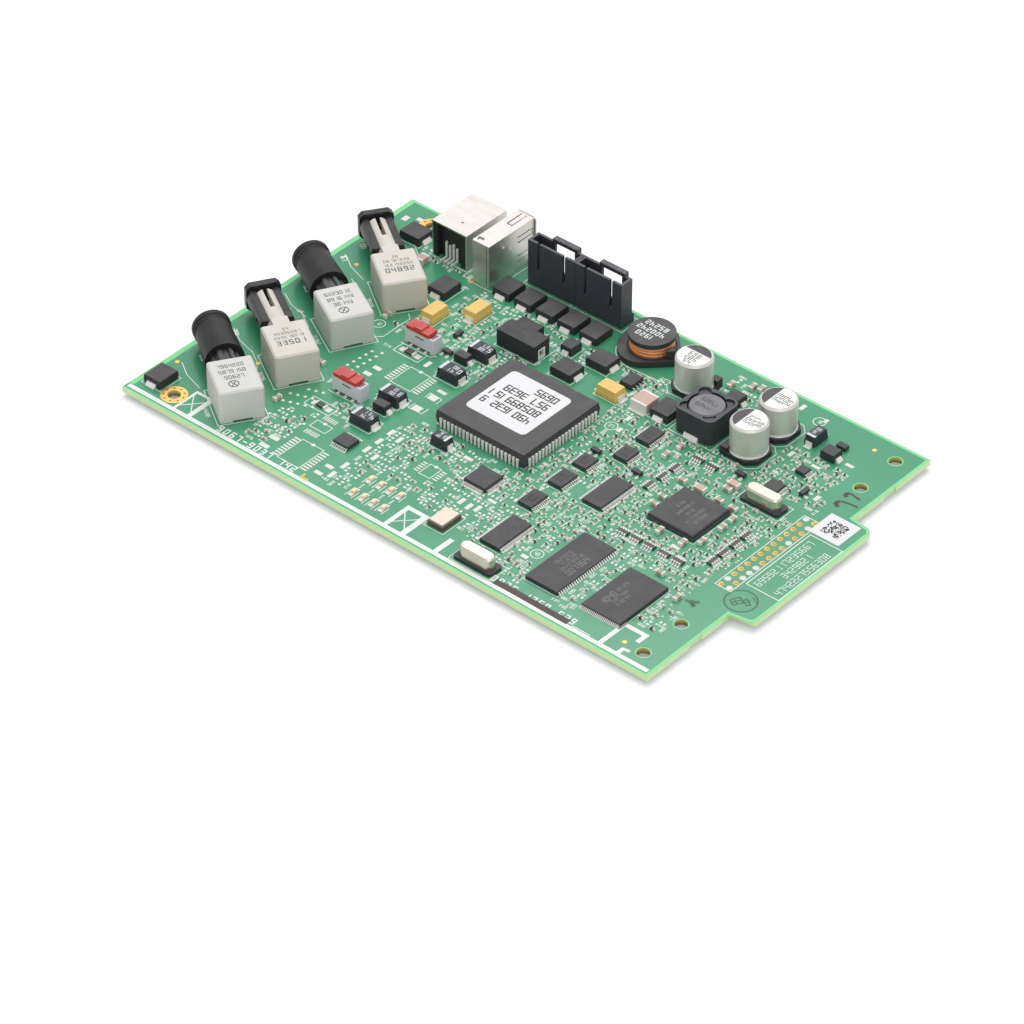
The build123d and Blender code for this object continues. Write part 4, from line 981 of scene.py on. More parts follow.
def winding_tree():
    """Turns of round wire laid side by side round a hub."""
    tree, given, result = node_tree(
        "Wire turns",
        (
            ("Turns", "NodeSocketFloat", 6.0),
            ("Radius", "NodeSocketFloat", 5.3 * MM),
            ("Rise", "NodeSocketFloat", 3.0 * MM),
            ("Wire radius", "NodeSocketFloat", 0.3 * MM),
            ("Material", "NodeSocketMaterial", None),
        ),
    )
    nodes, links = tree.nodes, tree.links
    helix = nodes.new("GeometryNodeCurveSpiral")
    helix.inputs["Resolution"].default_value = 40
    links.new(given.outputs["Turns"], helix.inputs["Rotations"])
    links.new(given.outputs["Radius"], helix.inputs["Start Radius"])
    links.new(given.outputs["Radius"], helix.inputs["End Radius"])
    links.new(given.outputs["Rise"], helix.inputs["Height"])
    section = nodes.new("GeometryNodeCurvePrimitiveCircle")
    section.inputs["Resolution"].default_value = 8
    links.new(given.outputs["Wire radius"], section.inputs["Radius"])
    sweep = nodes.new("GeometryNodeCurveToMesh")
    sweep.inputs["Fill Caps"].default_value = True
    links.new(helix.outputs["Curve"], sweep.inputs["Curve"])
    links.new(section.outputs["Curve"], sweep.inputs["Profile Curve"])
    wire = coloured(tree, sweep.outputs["Mesh"], given.outputs["Material"])
    return spread_on_points(tree, given, wire, result)


TREES = {}


def shared_tree(maker):
    """A geometry tree, built once."""
    if maker.__name__ not in TREES:
        TREES[maker.__name__] = maker()
    return TREES[maker.__name__]


def grown(name, maker, points, values, body=CARD):
    """Runs a tree on points given as (place, turn in degrees, size) and keeps the result as a plain piece."""
    tree = shared_tree(maker)
    cloud = bpy.data.meshes.new(name + "_points")
    cloud.from_pydata([tuple(place) for place, _, _ in points], [], [])
    turns = cloud.attributes.new("turn", "FLOAT", "POINT")
    turns.data.foreach_set("value", [math.radians(turn) for _, turn, _ in points])
    sizes = cloud.attributes.new("size", "FLOAT_VECTOR", "POINT")
    sizes.data.foreach_set("vector", [part for _, _, size in points for part in size])
    source = bpy.data.objects.new(name + "_points", cloud)
    bpy.context.scene.collection.objects.link(source)
    modifier = source.modifiers.new("Grow", "NODES")
    modifier.node_group = tree
    for item in tree.interface.items_tree:
        if item.in_out == "INPUT" and item.name in values:
            modifier[item.identifier] = values[item.name]
    graph = bpy.context.evaluated_depsgraph_get()
    mesh = bpy.data.meshes.new_from_object(source.evaluated_get(graph))
    source.modifiers.clear()
    bpy.data.objects.remove(source)
    bpy.data.meshes.remove(cloud)
    if len(mesh.polygons) == 0:
        raise RuntimeError(name + " came out empty")
    mesh.name = name
    return finish_piece(name, mesh, None, body)


# Small parts and their places


def row(x, y, step_x, step_y, count, turn=0.0):
    """Places in a straight row: first place, step, how many, and the turn of each."""
    return [(x + step_x * index, y + step_y * index, turn) for index in range(count)]


def keep_out_boxes():
    """Outlines, on the board in millimetres, of every solid that stands on it."""
    boxes = []
    for node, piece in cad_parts.items():
        if node in ("circuit_board", "solder_tails", "hole_lands"):
            continue
        mesh = piece.data
        parent = list(range(len(mesh.vertices)))

        def root(index):
            while parent[index] != index:
                parent[index] = parent[parent[index]]
                index = parent[index]
            return index

        seen = {}
        for vertex in mesh.vertices:
            key = tuple(round(value * 1e6) for value in vertex.co)
            first = seen.setdefault(key, vertex.index)
            parent[root(vertex.index)] = root(first)
        for polygon in mesh.polygons:
            first = root(polygon.vertices[0])
            for other in polygon.vertices[1:]:
                parent[root(other)] = first
        islands = {}
        for vertex in mesh.vertices:
            islands.setdefault(root(vertex.index), []).append(vertex.co)
        for points in islands.values():
            xs = [point.x / MM + HOLE_INSET[0] for point in points]
            ys = [point.y / MM + HOLE_INSET[1] for point in points]
            boxes.append((min(xs), min(ys), max(xs), max(ys)))
    return boxes


class Floorplan:
    """Remembers what is taken on the board, so that random parts don't overlap."""

    def __init__(self):
        self.taken = keep_out_boxes() + list(PRINTED_BOXES)
        for x, y, size_x, size_y in BARE_PADS:
            self.take(x, y, size_x / 2, size_y / 2)
        for x, y, _ in LARGE_CHIPS + TRANSISTORS + LOOSE_NETWORKS:
            self.take(x, y, 1.6, 1.6)
        for x, y in CIRCLES:
            self.take(x, y, 1.9, 1.9)

    def free(self, x, y, half_x, half_y, gap=0.35):
        """True if a box round a place is clear of all that is taken and inside the board."""
        if not (3.0 + half_x < x < BOARD_SIZE[0] - 3.5 - half_x and 3.4 + half_y < y < BOARD_SIZE[1] - 3.0 - half_y):
            return False
        for low_x, low_y, high_x, high_y in self.taken:
            if x + half_x + gap > low_x and x - half_x - gap < high_x:
                if y + half_y + gap > low_y and y - half_y - gap < high_y:
                    return False
        return True

    def take(self, x, y, half_x, half_y):
        """Marks a box as taken."""
        self.taken.append((x - half_x, y - half_y, x + half_x, y + half_y))


# Fields of small parts: low corner, high corner, and how many chips, bare pads and vias each holds
FIELDS = (
    ((34.0, 12.0), (47.0, 24.0), 4, 26, 10),
    ((46.0, 26.0), (53.0, 33.0), 3, 8, 6),
    ((33.0, 38.0), (42.0, 56.0), 6, 34, 10),
    ((66.0, 7.0), (90.0, 26.0), 10, 64, 18),
    ((66.0, 26.0), (90.0, 38.0), 16, 46, 16),
    ((62.0, 62.0), (72.0, 76.0), 10, 12, 12),
    ((30.0, 64.0), (36.0, 92.0), 5, 8, 8),
    ((20.0, 84.0), (34.0, 96.0), 34, 12, 12),
    ((42.0, 68.0), (56.0, 92.0), 12, 6, 10),
    ((64.0, 80.0), (84.0, 92.0), 12, 6, 10),
    ((88.0, 12.0), (108.0, 28.0), 8, 40, 14),
    ((96.0, 24.0), (108.0, 60.0), 26, 14, 34),
    ((112.0, 26.0), (127.0, 40.0), 40, 10, 46),
    ((112.0, 47.0), (126.0, 58.0), 26, 6, 30),
    ((100.0, 58.0), (126.0, 78.0), 60, 14, 40),
    ((125.0, 32.0), (162.0, 36.5), 18, 8, 50),
    ((126.0, 39.5), (156.0, 45.0), 30, 8, 90),
    ((125.0, 62.0), (150.0, 78.0), 110, 12, 60),
    ((150.0, 60.0), (163.0, 67.0), 34, 4, 30),
    ((125.0, 44.0), (134.0, 62.0), 44, 4, 30),
    ((150.5, 44.0), (156.5, 64.0), 30, 4, 40),
    ((159.5, 40.0), (163.0, 66.0), 12, 4, 40),
    ((143.0, 76.0), (164.0, 92.0), 60, 8, 30),
    ((84.0, 88.0), (104.0, 92.0), 6, 2, 8),
    ((98.0, 83.0), (104.0, 92.0), 8, 2, 6),
    ((116.0, 92.0), (131.0, 106.0), 12, 4, 16),
    ((118.0, 6.0), (127.0, 12.0), 6, 6, 10),
    ((104.0, 10.0), (126.0, 28.0), 12, 10, 26),
    ((140.0, 8.0), (145.0, 34.0), 6, 4, 12),
    ((158.0, 14.0), (164.0, 36.0), 6, 2, 30),
    ((4.0, 18.0), (12.0, 94.0), 0, 2, 8),
    ((34.0, 5.0), (46.0, 12.0), 4, 6, 6),
    ((14.0, 94.0), (24.0, 106.0), 2, 4, 4),
    ((56.0, 86.0), (64.0, 92.0), 4, 4, 4),
)

# Bare pads: middle x and y, size along x and along y
BARE_PADS = (
    (64.5, 30.6, 1.2, 2.6),
    (64.6, 26.0, 1.2, 2.6),
    (68.1, 29.7, 1.2, 2.6),
    (64.5, 21.5, 1.2, 2.8),
    (68.2, 20.4, 1.2, 2.6),
    (64.8, 13.1, 1.2, 2.8),
    (64.8, 8.3, 1.2, 2.8),
    (43.8, 9.8, 3.0, 1.4),
    (44.0, 5.9, 3.0, 1.4),
    (62.2, 10.2, 2.4, 1.2),
    (61.8, 6.6, 2.4, 1.2),
    (62.7, 42.3, 2.6, 2.2),
    (62.8, 48.3, 2.6, 2.2),
    (52.3, 58.0, 1.2, 2.6),
    (63.0, 51.5, 2.8, 1.1),
    (43.3, 45.0, 2.4, 1.4),
    (43.7, 48.3, 2.4, 1.4),
    (86.1, 35.4, 2.8, 1.0),
    (96.2, 21.4, 1.2, 2.6),
    (99.0, 21.0, 1.2, 2.6),
    (101.2, 21.7, 1.2, 2.6),
    (101.9, 26.3, 2.6, 1.0),
    (147.5, 42.1, 2.6, 1.1),
    (122.1, 15.2, 2.0, 1.2),
    (107.0, 69.1, 1.2, 1.8),
    (105.7, 74.2, 1.1, 2.0),
    (136.0, 106.6, 1.2, 2.4),
    (159.7, 95.4, 2.4, 1.0),
    (161.7, 79.8, 1.2, 2.2),
    (153.6, 89.5, 2.6, 1.0),
    (145.7, 89.6, 1.1, 2.2),
    (144.0, 106.0, 1.0, 1.6),
    (41.6, 27.2, 1.7, 1.7),
    (46.3, 27.2, 1.7, 1.7),
    (43.2, 58.7, 1.7, 1.7),
    (48.3, 58.7, 1.7, 1.7),
    (105.4, 77.9, 5.2, 1.6),
    (105.4, 84.0, 5.2, 1.6),
    (4.6, 102.6, 1.6, 2.2),
    (8.2, 104.6, 2.4, 1.4),
    (15.4, 106.4, 2.4, 1.4),
)

# Rows of bare pads for parts that are left off: first place, step, how many, and pad size
PAD_ROWS = (
    ((48.4, 5.2), (0.0, 1.02), 9, (1.9, 0.5)),
    ((58.1, 5.2), (0.0, 1.02), 9, (1.9, 0.5)),
    ((48.4, 46.9), (0.0, 1.0), 8, (1.9, 0.5)),
    ((58.0, 46.9), (0.0, 1.0), 8, (1.9, 0.5)),
    ((47.6, 24.3), (0.65, 0.0), 7, (0.34, 1.7)),
    ((47.6, 17.3), (0.65, 0.0), 7, (0.34, 1.7)),
    ((79.3, 23.4), (0.0, 0.9), 5, (1.5, 0.42)),
    ((85.5, 23.4), (0.0, 0.9), 5, (1.5, 0.42)),
    ((34.8, 22.6), (1.9, 0.7), 5, (0.8, 0.8)),
    ((34.2, 26.0), (1.9, 0.7), 4, (0.8, 0.8)),
    ((36.6, 30.2), (1.9, 0.7), 3, (0.8, 0.8)),
    ((36.8, 12.8), (1.9, 0.5), 5, (0.8, 0.8)),
    ((36.0, 16.4), (1.9, 0.5), 6, (0.8, 0.8)),
    ((36.6, 40.2), (0.2, 2.1), 7, (0.8, 0.8)),
    ((38.9, 39.2), (0.2, 2.1), 8, (0.8, 0.8)),
    ((41.4, 38.8), (0.2, 2.1), 3, (0.8, 0.8)),
)

# Clear lamps, and resistor networks that stand in the scene only, with the turn of each
LAMPS = ((73.6, 13.3), (77.0, 13.2), (80.3, 13.2), (83.6, 13.2), (73.7, 6.8), (77.0, 6.8), (80.3, 6.8), (83.6, 6.8))
NETWORKS = (
    (134.2, 38.0, 0.0),
    (138.4, 38.0, 0.0),
    (142.6, 38.0, 0.0),
    (147.2, 38.0, 0.0),
    (151.6, 38.0, 0.0),
    (158.0, 43.7, 90.0),
    (158.0, 47.7, 90.0),
    (158.0, 52.3, 90.0),
    (158.0, 56.6, 90.0),
)
LOOSE_NETWORKS = ((129.8, 72.4, 0.0), (134.3, 72.3, 0.0), (127.7, 66.0, 90.0), (127.5, 61.3, 90.0), (127.2, 56.4, 90.0))

# Larger ceramic chips and three-legged transistors, with the turn of each
LARGE_CHIPS = (
    (132.4, 63.2, 0.0),
    (160.5, 27.0, 90.0),
    (151.4, 31.6, 0.0),
    (140.8, 44.1, 90.0),
    (148.1, 44.1, 90.0),
    (151.3, 47.5, 90.0),
    (151.7, 55.0, 90.0),
    (151.6, 59.1, 90.0),
    (144.4, 62.8, 0.0),
    (122.7, 68.4, 90.0),
    (132.8, 54.9, 0.0),
    (133.1, 51.4, 0.0),
    (149.0, 62.6, 0.0),
    (143.0, 67.7, 0.0),
    (121.4, 104.6, 90.0),
    (123.7, 105.3, 90.0),
    (123.3, 73.4, 90.0),
    (116.7, 101.7, 90.0),
    (30.6, 66.6, 90.0),
    (31.4, 40.4, 0.0),
    (33.4, 22.0, 90.0),
)
TRANSISTORS = ((121.8, 58.2, 0.0), (141.7, 74.5, 0.0), (108.5, 58.2, 0.0), (158.1, 79.2, 90.0), (53.0, 64.9, 0.0), (50.0, 72.5, 90.0))

# Boxes on the board that random parts keep off, apart from the solids: low x, low y, high x, high y
PRINTED_BOXES = (
    (6.5, 0.5, 18.0, 12.0),
    (15.0, 0.0, 23.0, 12.0),
    (30.0, 2.0, 57.0, 5.2),
    (46.5, 3.0, 60.0, 15.5),
    (46.5, 15.0, 53.5, 26.5),
    (46.5, 45.5, 60.0, 56.0),
    (60.0, 40.5, 66.0, 50.0),
    (78.0, 22.0, 87.0, 28.5),
    (71.5, 4.0, 86.5, 15.5),
    (86.5, 0.0, 106.0, 12.5),
    (121.0, 0.0, 155.0, 5.6),
    (156.0, 0.0, 165.0, 13.0),
    (162.8, 36.6, 181.0, 73.4),
    (162.0, 24.0, 181.0, 42.0),
    (162.5, 80.5, 173.0, 95.0),
    (162.0, 100.0, 173.0, 110.0),
    (34.0, 22.0, 44.5, 33.5),
    (36.0, 38.0, 43.5, 56.5),
)


def figure_places(plan, draw, wanted):
    """Free places in the fields for short rows of figures, with the turn of each."""
    places = []
    for _ in range(wanted * 40):
        if len(places) == wanted:
            break
        (low_x, low_y), (high_x, high_y) = draw.choice(FIELDS)[:2]
        x, y = draw.uniform(low_x - 1.5, high_x + 1.5), draw.uniform(low_y - 1.5, high_y + 1.5)
        turn = draw.choice((0.0, 90.0))
        half_x, half_y = (0.5, 1.15) if turn else (1.15, 0.5)
        if plan.free(x, y, half_x, half_y, 0.05):
            plan.take(x, y, half_x, half_y)
            places.append((x, y, turn))
    return places


def scattered(plan, settings):
    """Draws places for chips, bare pads and vias in every field."""
    draw = random.Random(settings.seed)
    chips, pads, vias = [], [], []
    for (low_x, low_y), (high_x, high_y), chip_count, pad_count, via_count in FIELDS:
        for wanted, half, keep in ((chip_count, (0.9, 0.55), chips), (pad_count, (1.0, 0.5), pads)):
            placed = 0
            for _ in range(wanted * 30):
                if placed == wanted:
                    break
                x = round(draw.uniform(low_x, high_x) / 0.65) * 0.65
                y = round(draw.uniform(low_y, high_y) / 0.65) * 0.65
                upright = draw.random() < 0.5
                half_x, half_y = half[::-1] if upright else half
                if plan.free(x, y, half_x, half_y):
                    plan.take(x, y, half_x, half_y)
                    keep.append((x, y, 90.0 if upright else 0.0))
                    placed += 1
        for _ in range(via_count):
            x = round(draw.uniform(low_x, high_x) / 0.4) * 0.4
            y = round(draw.uniform(low_y, high_y) / 0.4) * 0.4
            if plan.free(x, y, 0.3, 0.3, 0.1):
                plan.take(x, y, 0.3, 0.3)
                vias.append((x, y, 0.0))
    return chips, pads, vias


# Low corner, length and width of each small moulded chip with leads on two sides
SMALL_CHIPS = (
    (118.7, 40.7, 6.1, 12.5),
    (110.1, 12.3, 6.1, 12.5),
    (107.3, 29.6, 4.4, 6.5),
    (107.6, 40.6, 4.4, 6.5),
    (107.4, 50.2, 4.4, 5.2),
    (113.0, 59.3, 4.4, 5.2),
    (112.8, 68.2, 4.4, 6.5),
)
CRYSTAL_BOXES = ((153.2, 69.4, 12.2, 4.9), (115.2, 5.8, 12.2, 4.9))


def chip_lead_rows():
    """Lead places round the small moulded chips: (x, y, outward turn) in millimetres."""
    places = []

    def both_sides(x, y, length, width, per_side, pitch, along_y=True):
        middle_x, middle_y = x + length / 2, y + width / 2
        for index in range(per_side):
            shift = (index - (per_side - 1) / 2) * pitch
            if along_y:
                places.append((x + length, middle_y + shift, 0.0))
                places.append((x, middle_y + shift, 180.0))
            else:
                places.append((middle_x + shift, y + width, 90.0))
                places.append((middle_x + shift, y, -90.0))

    for x, y in ((118.7, 40.7), (110.1, 12.3)):
        both_sides(x, y, 6.1, 12.5, 24, 0.5)
    both_sides(107.3, 29.6, 4.4, 6.5, 10, 0.65)
    both_sides(107.6, 40.6, 4.4, 6.5, 10, 0.65)
    both_sides(107.4, 50.2, 4.4, 5.2, 8, 0.65)
    both_sides(113.0, 59.3, 4.4, 5.2, 8, 0.65)
    both_sides(112.8, 68.2, 4.4, 6.5, 10, 0.65)
    both_sides(56.4, 17.8, 5.0, 4.4, 8, 0.65, False)
    both_sides(94.9, 83.5, 3.9, 4.9, 4, 1.27)
    both_sides(149.2, 73.9, 4.2, 4.0, 7, 0.5)
    both_sides(151.2, 84.2, 2.9, 2.8, 4, 0.65)
    both_sides(91.6, 27.4, 7.0, 7.0, 12, 0.5)
    both_sides(91.6, 27.4, 7.0, 7.0, 12, 0.5, False)
    return places


# Operators, one for each piece or group of like pieces


class CARD_OT_finishes(bpy.types.Operator):
    """Make every material and give it to the card's solids"""

    bl_idname = "card.finishes"
    bl_label = "Finishes"

    def execute(self, context):
        make_materials(context.scene.card_board)
        for node, finish in NODE_FINISH.items():
            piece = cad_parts[node]
            piece.data.materials.clear()
            piece.data.materials.append(MATERIALS[finish])
        return {"FINISHED"}


class CARD_OT_board_print(bpy.types.Operator):
    """Lay the border, the white print and the ink marks on the board"""

    bl_idname = "card.board_print"
    bl_label = "Board print"

    def execute(self, context):
        settings = context.scene.card_board
        make_border(settings)
        make_white_print(random.Random(context.scene.card_parts.seed + 3))
        make_ink_marks()
        return {"FINISHED"}


class CARD_OT_small_parts(bpy.types.Operator):
    """Grow the small chips, bare pads, vias and fine leads"""

    bl_idname = "card.small_parts"
    bl_label = "Small parts"

    def execute(self, context):
        settings = context.scene.card_parts
        plan = Floorplan()
        chips, pads, vias = scattered(plan, settings)
        draw = random.Random(settings.seed + 1)
        groups = {"ceramic_tan": [], "ceramic_dark": []}
        for x, y, turn in chips:
            kind = "ceramic_dark" if draw.random() < 0.42 else "ceramic_tan"
            share = draw.choice((0.62, 0.62, 0.86))
            groups[kind].append((spot(x, y), turn, (share, share, share)))
        for x, y, turn in LARGE_CHIPS:
            groups["ceramic_tan"].append((spot(x, y), turn, (1.5, 1.7, 1.5)))
        for kind, points in groups.items():
            grown(
                "small_chips_" + kind,
                chip_tree,
                points,
                {
                    "Length": settings.chip_length,
                    "Body material": MATERIALS[kind],
                    "End material": MATERIALS["tin_pad"],
                },
            )
        pad_points = [(spot(x, y), 0.0, (size_x, size_y, 1.0)) for x, y, size_x, size_y in BARE_PADS]
        for (x, y), (step_x, step_y), count, (size_x, size_y) in PAD_ROWS:
            for row_x, row_y, _ in row(x, y, step_x, step_y, count):
                pad_points.append((spot(row_x, row_y), 0.0, (size_x, size_y, 1.0)))
        for x, y, turn in pads:
            for side in (-0.6, 0.6):
                pad_x, pad_y = turned(x, y, side, 0.0, turn)
                pad_points.append((spot(pad_x, pad_y), turn, (0.62, 0.85, 1.0)))
        for x, y, turn in chips:
            for side in (-0.62, 0.62):
                pad_x, pad_y = turned(x, y, side, 0.0, turn)
                pad_points.append((spot(pad_x, pad_y), turn, (0.6, 0.75, 0.8)))
        grown("bare_pads", pad_tree, pad_points, {"Material": MATERIALS["tin_pad"]})
        specks = []
        for x, y, turn in chips + pads:
            if draw.random() < 0.55:
                side = draw.choice((-1.05, 1.05))
                for step in range(draw.choice((3, 4))):
                    speck_x, speck_y = turned(x, y, (step - 1.5) * 0.5, side, turn)
                    specks.append((spot(speck_x, speck_y), turn, (0.22, 0.6, 0.5)))
        grown("print_specks", pad_tree, specks, {"Material": MATERIALS["white_print_and_highlight"]})
        labels = Pile()
        for x, y, turn in figure_places(plan, draw, settings.label_count):
            labels.figures(random_figures(draw, 4), x, y, turn, 0.78, 0.0, 0, 0.17)
        labels.make("part_labels", [MATERIALS["white_print_and_highlight"]], slot="board")
        grown(
            "vias",
            ring_tree,
            [(spot(x, y), 0.0, (1.0, 1.0, 1.0)) for x, y, _ in vias],
            {
                "Radius": settings.via_radius,
                "Ring material": MATERIALS["via_ring"],
                "Eye material": MATERIALS["white_print_and_highlight"],
            },
        )
        leads = [(spot(x, y), turn, (1.0, 1.0, 1.0)) for x, y, turn in chip_lead_rows()]
        grown(
            "fine_leads",
            lead_tree,
            leads,
            {"Width": settings.lead_width, "Reach": 1.35 * MM, "Height": 0.55 * MM, "Material": MATERIALS["tin_lead"]},
        )
        return {"FINISHED"}


class CARD_OT_loose_parts(bpy.types.Operator):
    """Set the clear lamps, the resistor networks, the transistors and the solder ends"""

    bl_idname = "card.loose_parts"
    bl_label = "Loose parts"

    def execute(self, context):
        lamps = Pile()
        for x, y in LAMPS:
            lamps.block(x, y, 1.25, 1.5, 0.0, 0.75, slot=0, top_scale=0.9)
            lamps.block(x, y - 1.3, 1.3, 1.1, 0.0, 0.12, slot=1)
            lamps.block(x, y + 1.15, 1.3, 0.7, 0.0, 0.12, slot=1)
            lamps.ribbon([(x - 1.1, y - 2.4), (x - 1.1, y + 0.6)], 0.22, slot=2)
            lamps.ribbon([(x + 1.1, y - 2.4), (x + 1.1, y + 0.6)], 0.22, slot=2)
            for step in range(4):
                lamps.block(x - 0.2, y + 2.2 + 0.5 * step, 0.6, 0.24, 0.0, INK_HEIGHT, slot=2)
        lamps.make(
            "clear_lamps", [MATERIALS["lamp_resin"], MATERIALS["tin_pad"], MATERIALS["white_print_and_highlight"]], slot="ceramic",
        )
        ends = Pile()
        for x, y, turn in NETWORKS + LOOSE_NETWORKS:
            for index in range(4):
                for side in (-0.82, 0.82):
                    end_x, end_y = turned(x, y, (index - 1.5) * 0.8, side, turn)
                    ends.block(end_x, end_y, 0.48, 0.5, 0.0, 0.63, turn)
                    foot_x, foot_y = turned(x, y, (index - 1.5) * 0.8, 1.4 * side, turn)
                    ends.block(foot_x, foot_y, 0.42, 1.5, 0.0, 0.08, turn)
        for x, y in ((45.6, 58.7), (43.7, 27.2)):
            for side in (-1.45, 1.45):
                ends.block(x + side, y, 0.5, 1.64, 0.0, 0.63)
        for x, y, size_x, size_y, top in ((105.4, 80.9, 5.0, 5.4, 2.6), (21.3, 90.6, 2.5, 3.2, 1.8)):
            for side in (-1, 1):
                ends.block(x, y + side * (size_y / 2 - 0.3), size_x + 0.04, 0.66, 0.0, top + 0.02)
        for x, y, size_x, size_y, top in ((138.0, 63.2, 3.2, 1.9, 1.3), (143.3, 70.0, 3.2, 1.9, 1.3)):
            for side in (-1, 1):
                ends.block(x + side * (size_x / 2 - 0.2), y, 0.44, size_y + 0.04, 0.0, top + 0.02)
        for x, y, size_x, size_y in YELLOW_TANTALUMS + tuple(place[:4] for place in BLACK_TANTALUMS) + ((147.0, 98.0, 3.2, 5.6),):
            for side in (-1, 1):
                if size_x > size_y:
                    ends.block(x + side * (size_x / 2 + 0.55), y, 1.5, size_y * 0.62, 0.0, 0.1)
                else:
                    ends.block(x, y + side * (size_y / 2 + 0.55), size_x * 0.62, 1.5, 0.0, 0.1)
        ends.make("solder_ends", [MATERIALS["tin_pad"]], slot="tin")
        bodies = Pile()
        for x, y, turn in LOOSE_NETWORKS:
            bodies.block(x, y, 3.2, 1.5, 0.0, 0.6, turn)
        bodies.make("loose_networks", [MATERIALS["ceramic_dark"]], slot="ceramic")
        transistors = Pile()
        for x, y, turn in TRANSISTORS:
            transistors.block(x, y, 2.9, 1.4, 0.1, 1.1, turn, 0, 0.9)
            for along, side in ((-0.95, -1), (0.95, -1), (0.0, 1)):
                leg_x, leg_y = turned(x, y, along, side * 1.0, turn)
                transistors.block(leg_x, leg_y, 0.45, 0.8, 0.0, 0.3, turn, 1)
                pad_x, pad_y = turned(x, y, along, side * 1.35, turn)
                transistors.block(pad_x, pad_y, 0.85, 1.0, 0.0, 0.1, turn, 1)
        transistors.make("transistors", [MATERIALS["chip_top"], MATERIALS["tin_pad"]], slot="chip_black")
        return {"FINISHED"}


class CARD_OT_header_holes(bpy.types.Operator):
    """Place the plated holes of the empty header and of the mounting lands"""

    bl_idname = "card.header_holes"
    bl_label = "Plated holes"

    def execute(self, context):
        gold, pale = [], []
        for index in range(14):
            y = 38.45 + 2.54 * index
            (pale if index in (1, 13) else gold).append((spot(164.8, y), 0.0, (1.0, 1.0, 1.0)))
            (pale if index in (0, 2, 3, 4, 9, 12) else gold).append((spot(167.4, y), 0.0, (1.0, 1.0, 1.0)))
        for name, points, eye in (("header_holes", gold, "gold_pad"), ("filled_holes", pale, "tin_pad")):
            ring = "gold_pad" if eye == "gold_pad" else "tin_pad"
            grown(
                name,
                ring_tree,
                points,
                {
                    "Radius": 0.88 * MM,
                    "Hole": 0.42 * MM,
                    "Thickness": 0.06 * MM,
                    "Sides": 16,
                    "Ring material": MATERIALS[ring],
                    "Eye material": MATERIALS["hole_wall" if eye == "gold_pad" else "tin_pad"],
                },
            )
        # Painted shade: flat dark brown discs stand for the small shaded via holes round the first two mounting holes
        pile = Pile()
        for x, y in HOLES[:2]:
            for index in range(9):
                via_x, via_y = turned(x, y, 2.75, 0.0, 40.0 * index + 12.0)
                pile.disc(via_x, via_y, 0.26, 0.05, 0.075, 10)
        pile.make("land_vias", [MATERIALS["brown_ink_and_via_shade"]], slot="gold")
        depth = (BOARD_TOP - BOARD_LOW) / MM
        linings, rims = Pile(), Pile()
        for x, y in HOLES:
            linings.ring(x, y, HOLE_RADIUS - 0.04, HOLE_RADIUS + 0.01, 0.02 - depth, -0.02, 40)
        for x, y in HOLES[2:]:
            rims.ring(x, y, HOLE_RADIUS, HOLE_RADIUS + 0.3, 0.0, 0.012, 40)
        smooth(linings.make("hole_linings", [MATERIALS["hole_wall"]], slot="board"))
        rims.make("hole_rims", [MATERIALS["border_mask"]], slot="board")
        return {"FINISHED"}


class CARD_OT_coil_wire(bpy.types.Operator):
    """Wind the coil's wire round its core"""

    bl_idname = "card.coil_wire"
    bl_label = "Coil wire"

    def execute(self, context):
        settings = context.scene.card_parts
        low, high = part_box("coil_winding")
        radius = settings.wire_radius
        room = high[2] - low[2] - 2 * radius
        middle = Vector(((low[0] + high[0]) / 2, (low[1] + high[1]) / 2, low[2] + radius))
        turns = room / (2.25 * radius)
        wire = grown(
            "coil_wire",
            winding_tree,
            [(middle, 20.0, (1.0, 1.0, 1.0))],
            {
                "Turns": turns,
                "Radius": (high[0] - low[0]) / 2 - 0.3 * radius,
                "Rise": room,
                "Wire radius": radius,
                "Material": MATERIALS["copper_wire"],
            },
        )
        smooth(wire)
        return {"FINISHED"}


class CARD_OT_markings(bpy.types.Operator):
    """Print generic bars on the label, chips, cans and ports and the random pattern on the sticker, and lay painted
    shade on the switches and painted shade and highlights on the socket shells
    """

    bl_idname = "card.markings"
    bl_label = "Markings"

    def execute(self, context):
        make_markings(random.Random(context.scene.card_parts.seed + 2))
        return {"FINISHED"}


class CARD_OT_stage(bpy.types.Operator):
    """Set the floor, the lamps, the world and the camera"""

    bl_idname = "card.stage"
    bl_label = "Stage"

    def execute(self, context):
        settings = context.scene.card_stage
        make_floor()
        make_lights(settings)
        make_camera(settings)
        context.scene.view_settings.view_transform = "Standard"
        return {"FINISHED"}


def smooth(piece):
    """Smooth shading on a round piece."""
    piece.data.polygons.foreach_set("use_smooth", [True] * len(piece.data.polygons))


def make_border(settings):
    """The pale band along the board's edges, where the mask lies on bare laminate."""
    width = settings.border / MM
    narrow = 0.55 * width
    length, depth = BOARD_SIZE
    reach, tab_low, tab_high, slant = TAB
    inner, edge = narrow / 2, 0.3
    wide = Pile()
    wide.ribbon([(width / 2, 2.6), (width / 2, depth)], width, 0.0, 0.012)
    wide.ribbon([(width, depth - inner), (length, depth - inner)], narrow, 0.0, 0.012)
    wide.ribbon(
        [
            (length - inner, depth - narrow),
            (length - inner, tab_high + inner),
            (length + reach - inner - slant, tab_high - inner),
            (length + reach - inner, tab_high - slant - inner),
            (length + reach - inner, tab_low + slant + inner),
            (length + reach - inner - slant, tab_low + inner),
            (length - inner, tab_low - inner),
            (length - inner, 0.0),
        ],
        narrow, 0.0, 0.012,
    )
    wide.ribbon([(0.0, edge), (length - narrow, edge)], 2 * edge, 0.0, 0.012)
    wide.make("border_band", [MATERIALS["border_mask"]], slot="board")


def rectangle_route(x, y, length, width, turn=0.0):
    """Corners of a rectangle as a closed route."""
    return [
        turned(x, y, along * length / 2, across * width / 2, turn)
        for along, across in ((-1, -1), (1, -1), (1, 1), (-1, 1))
    ]


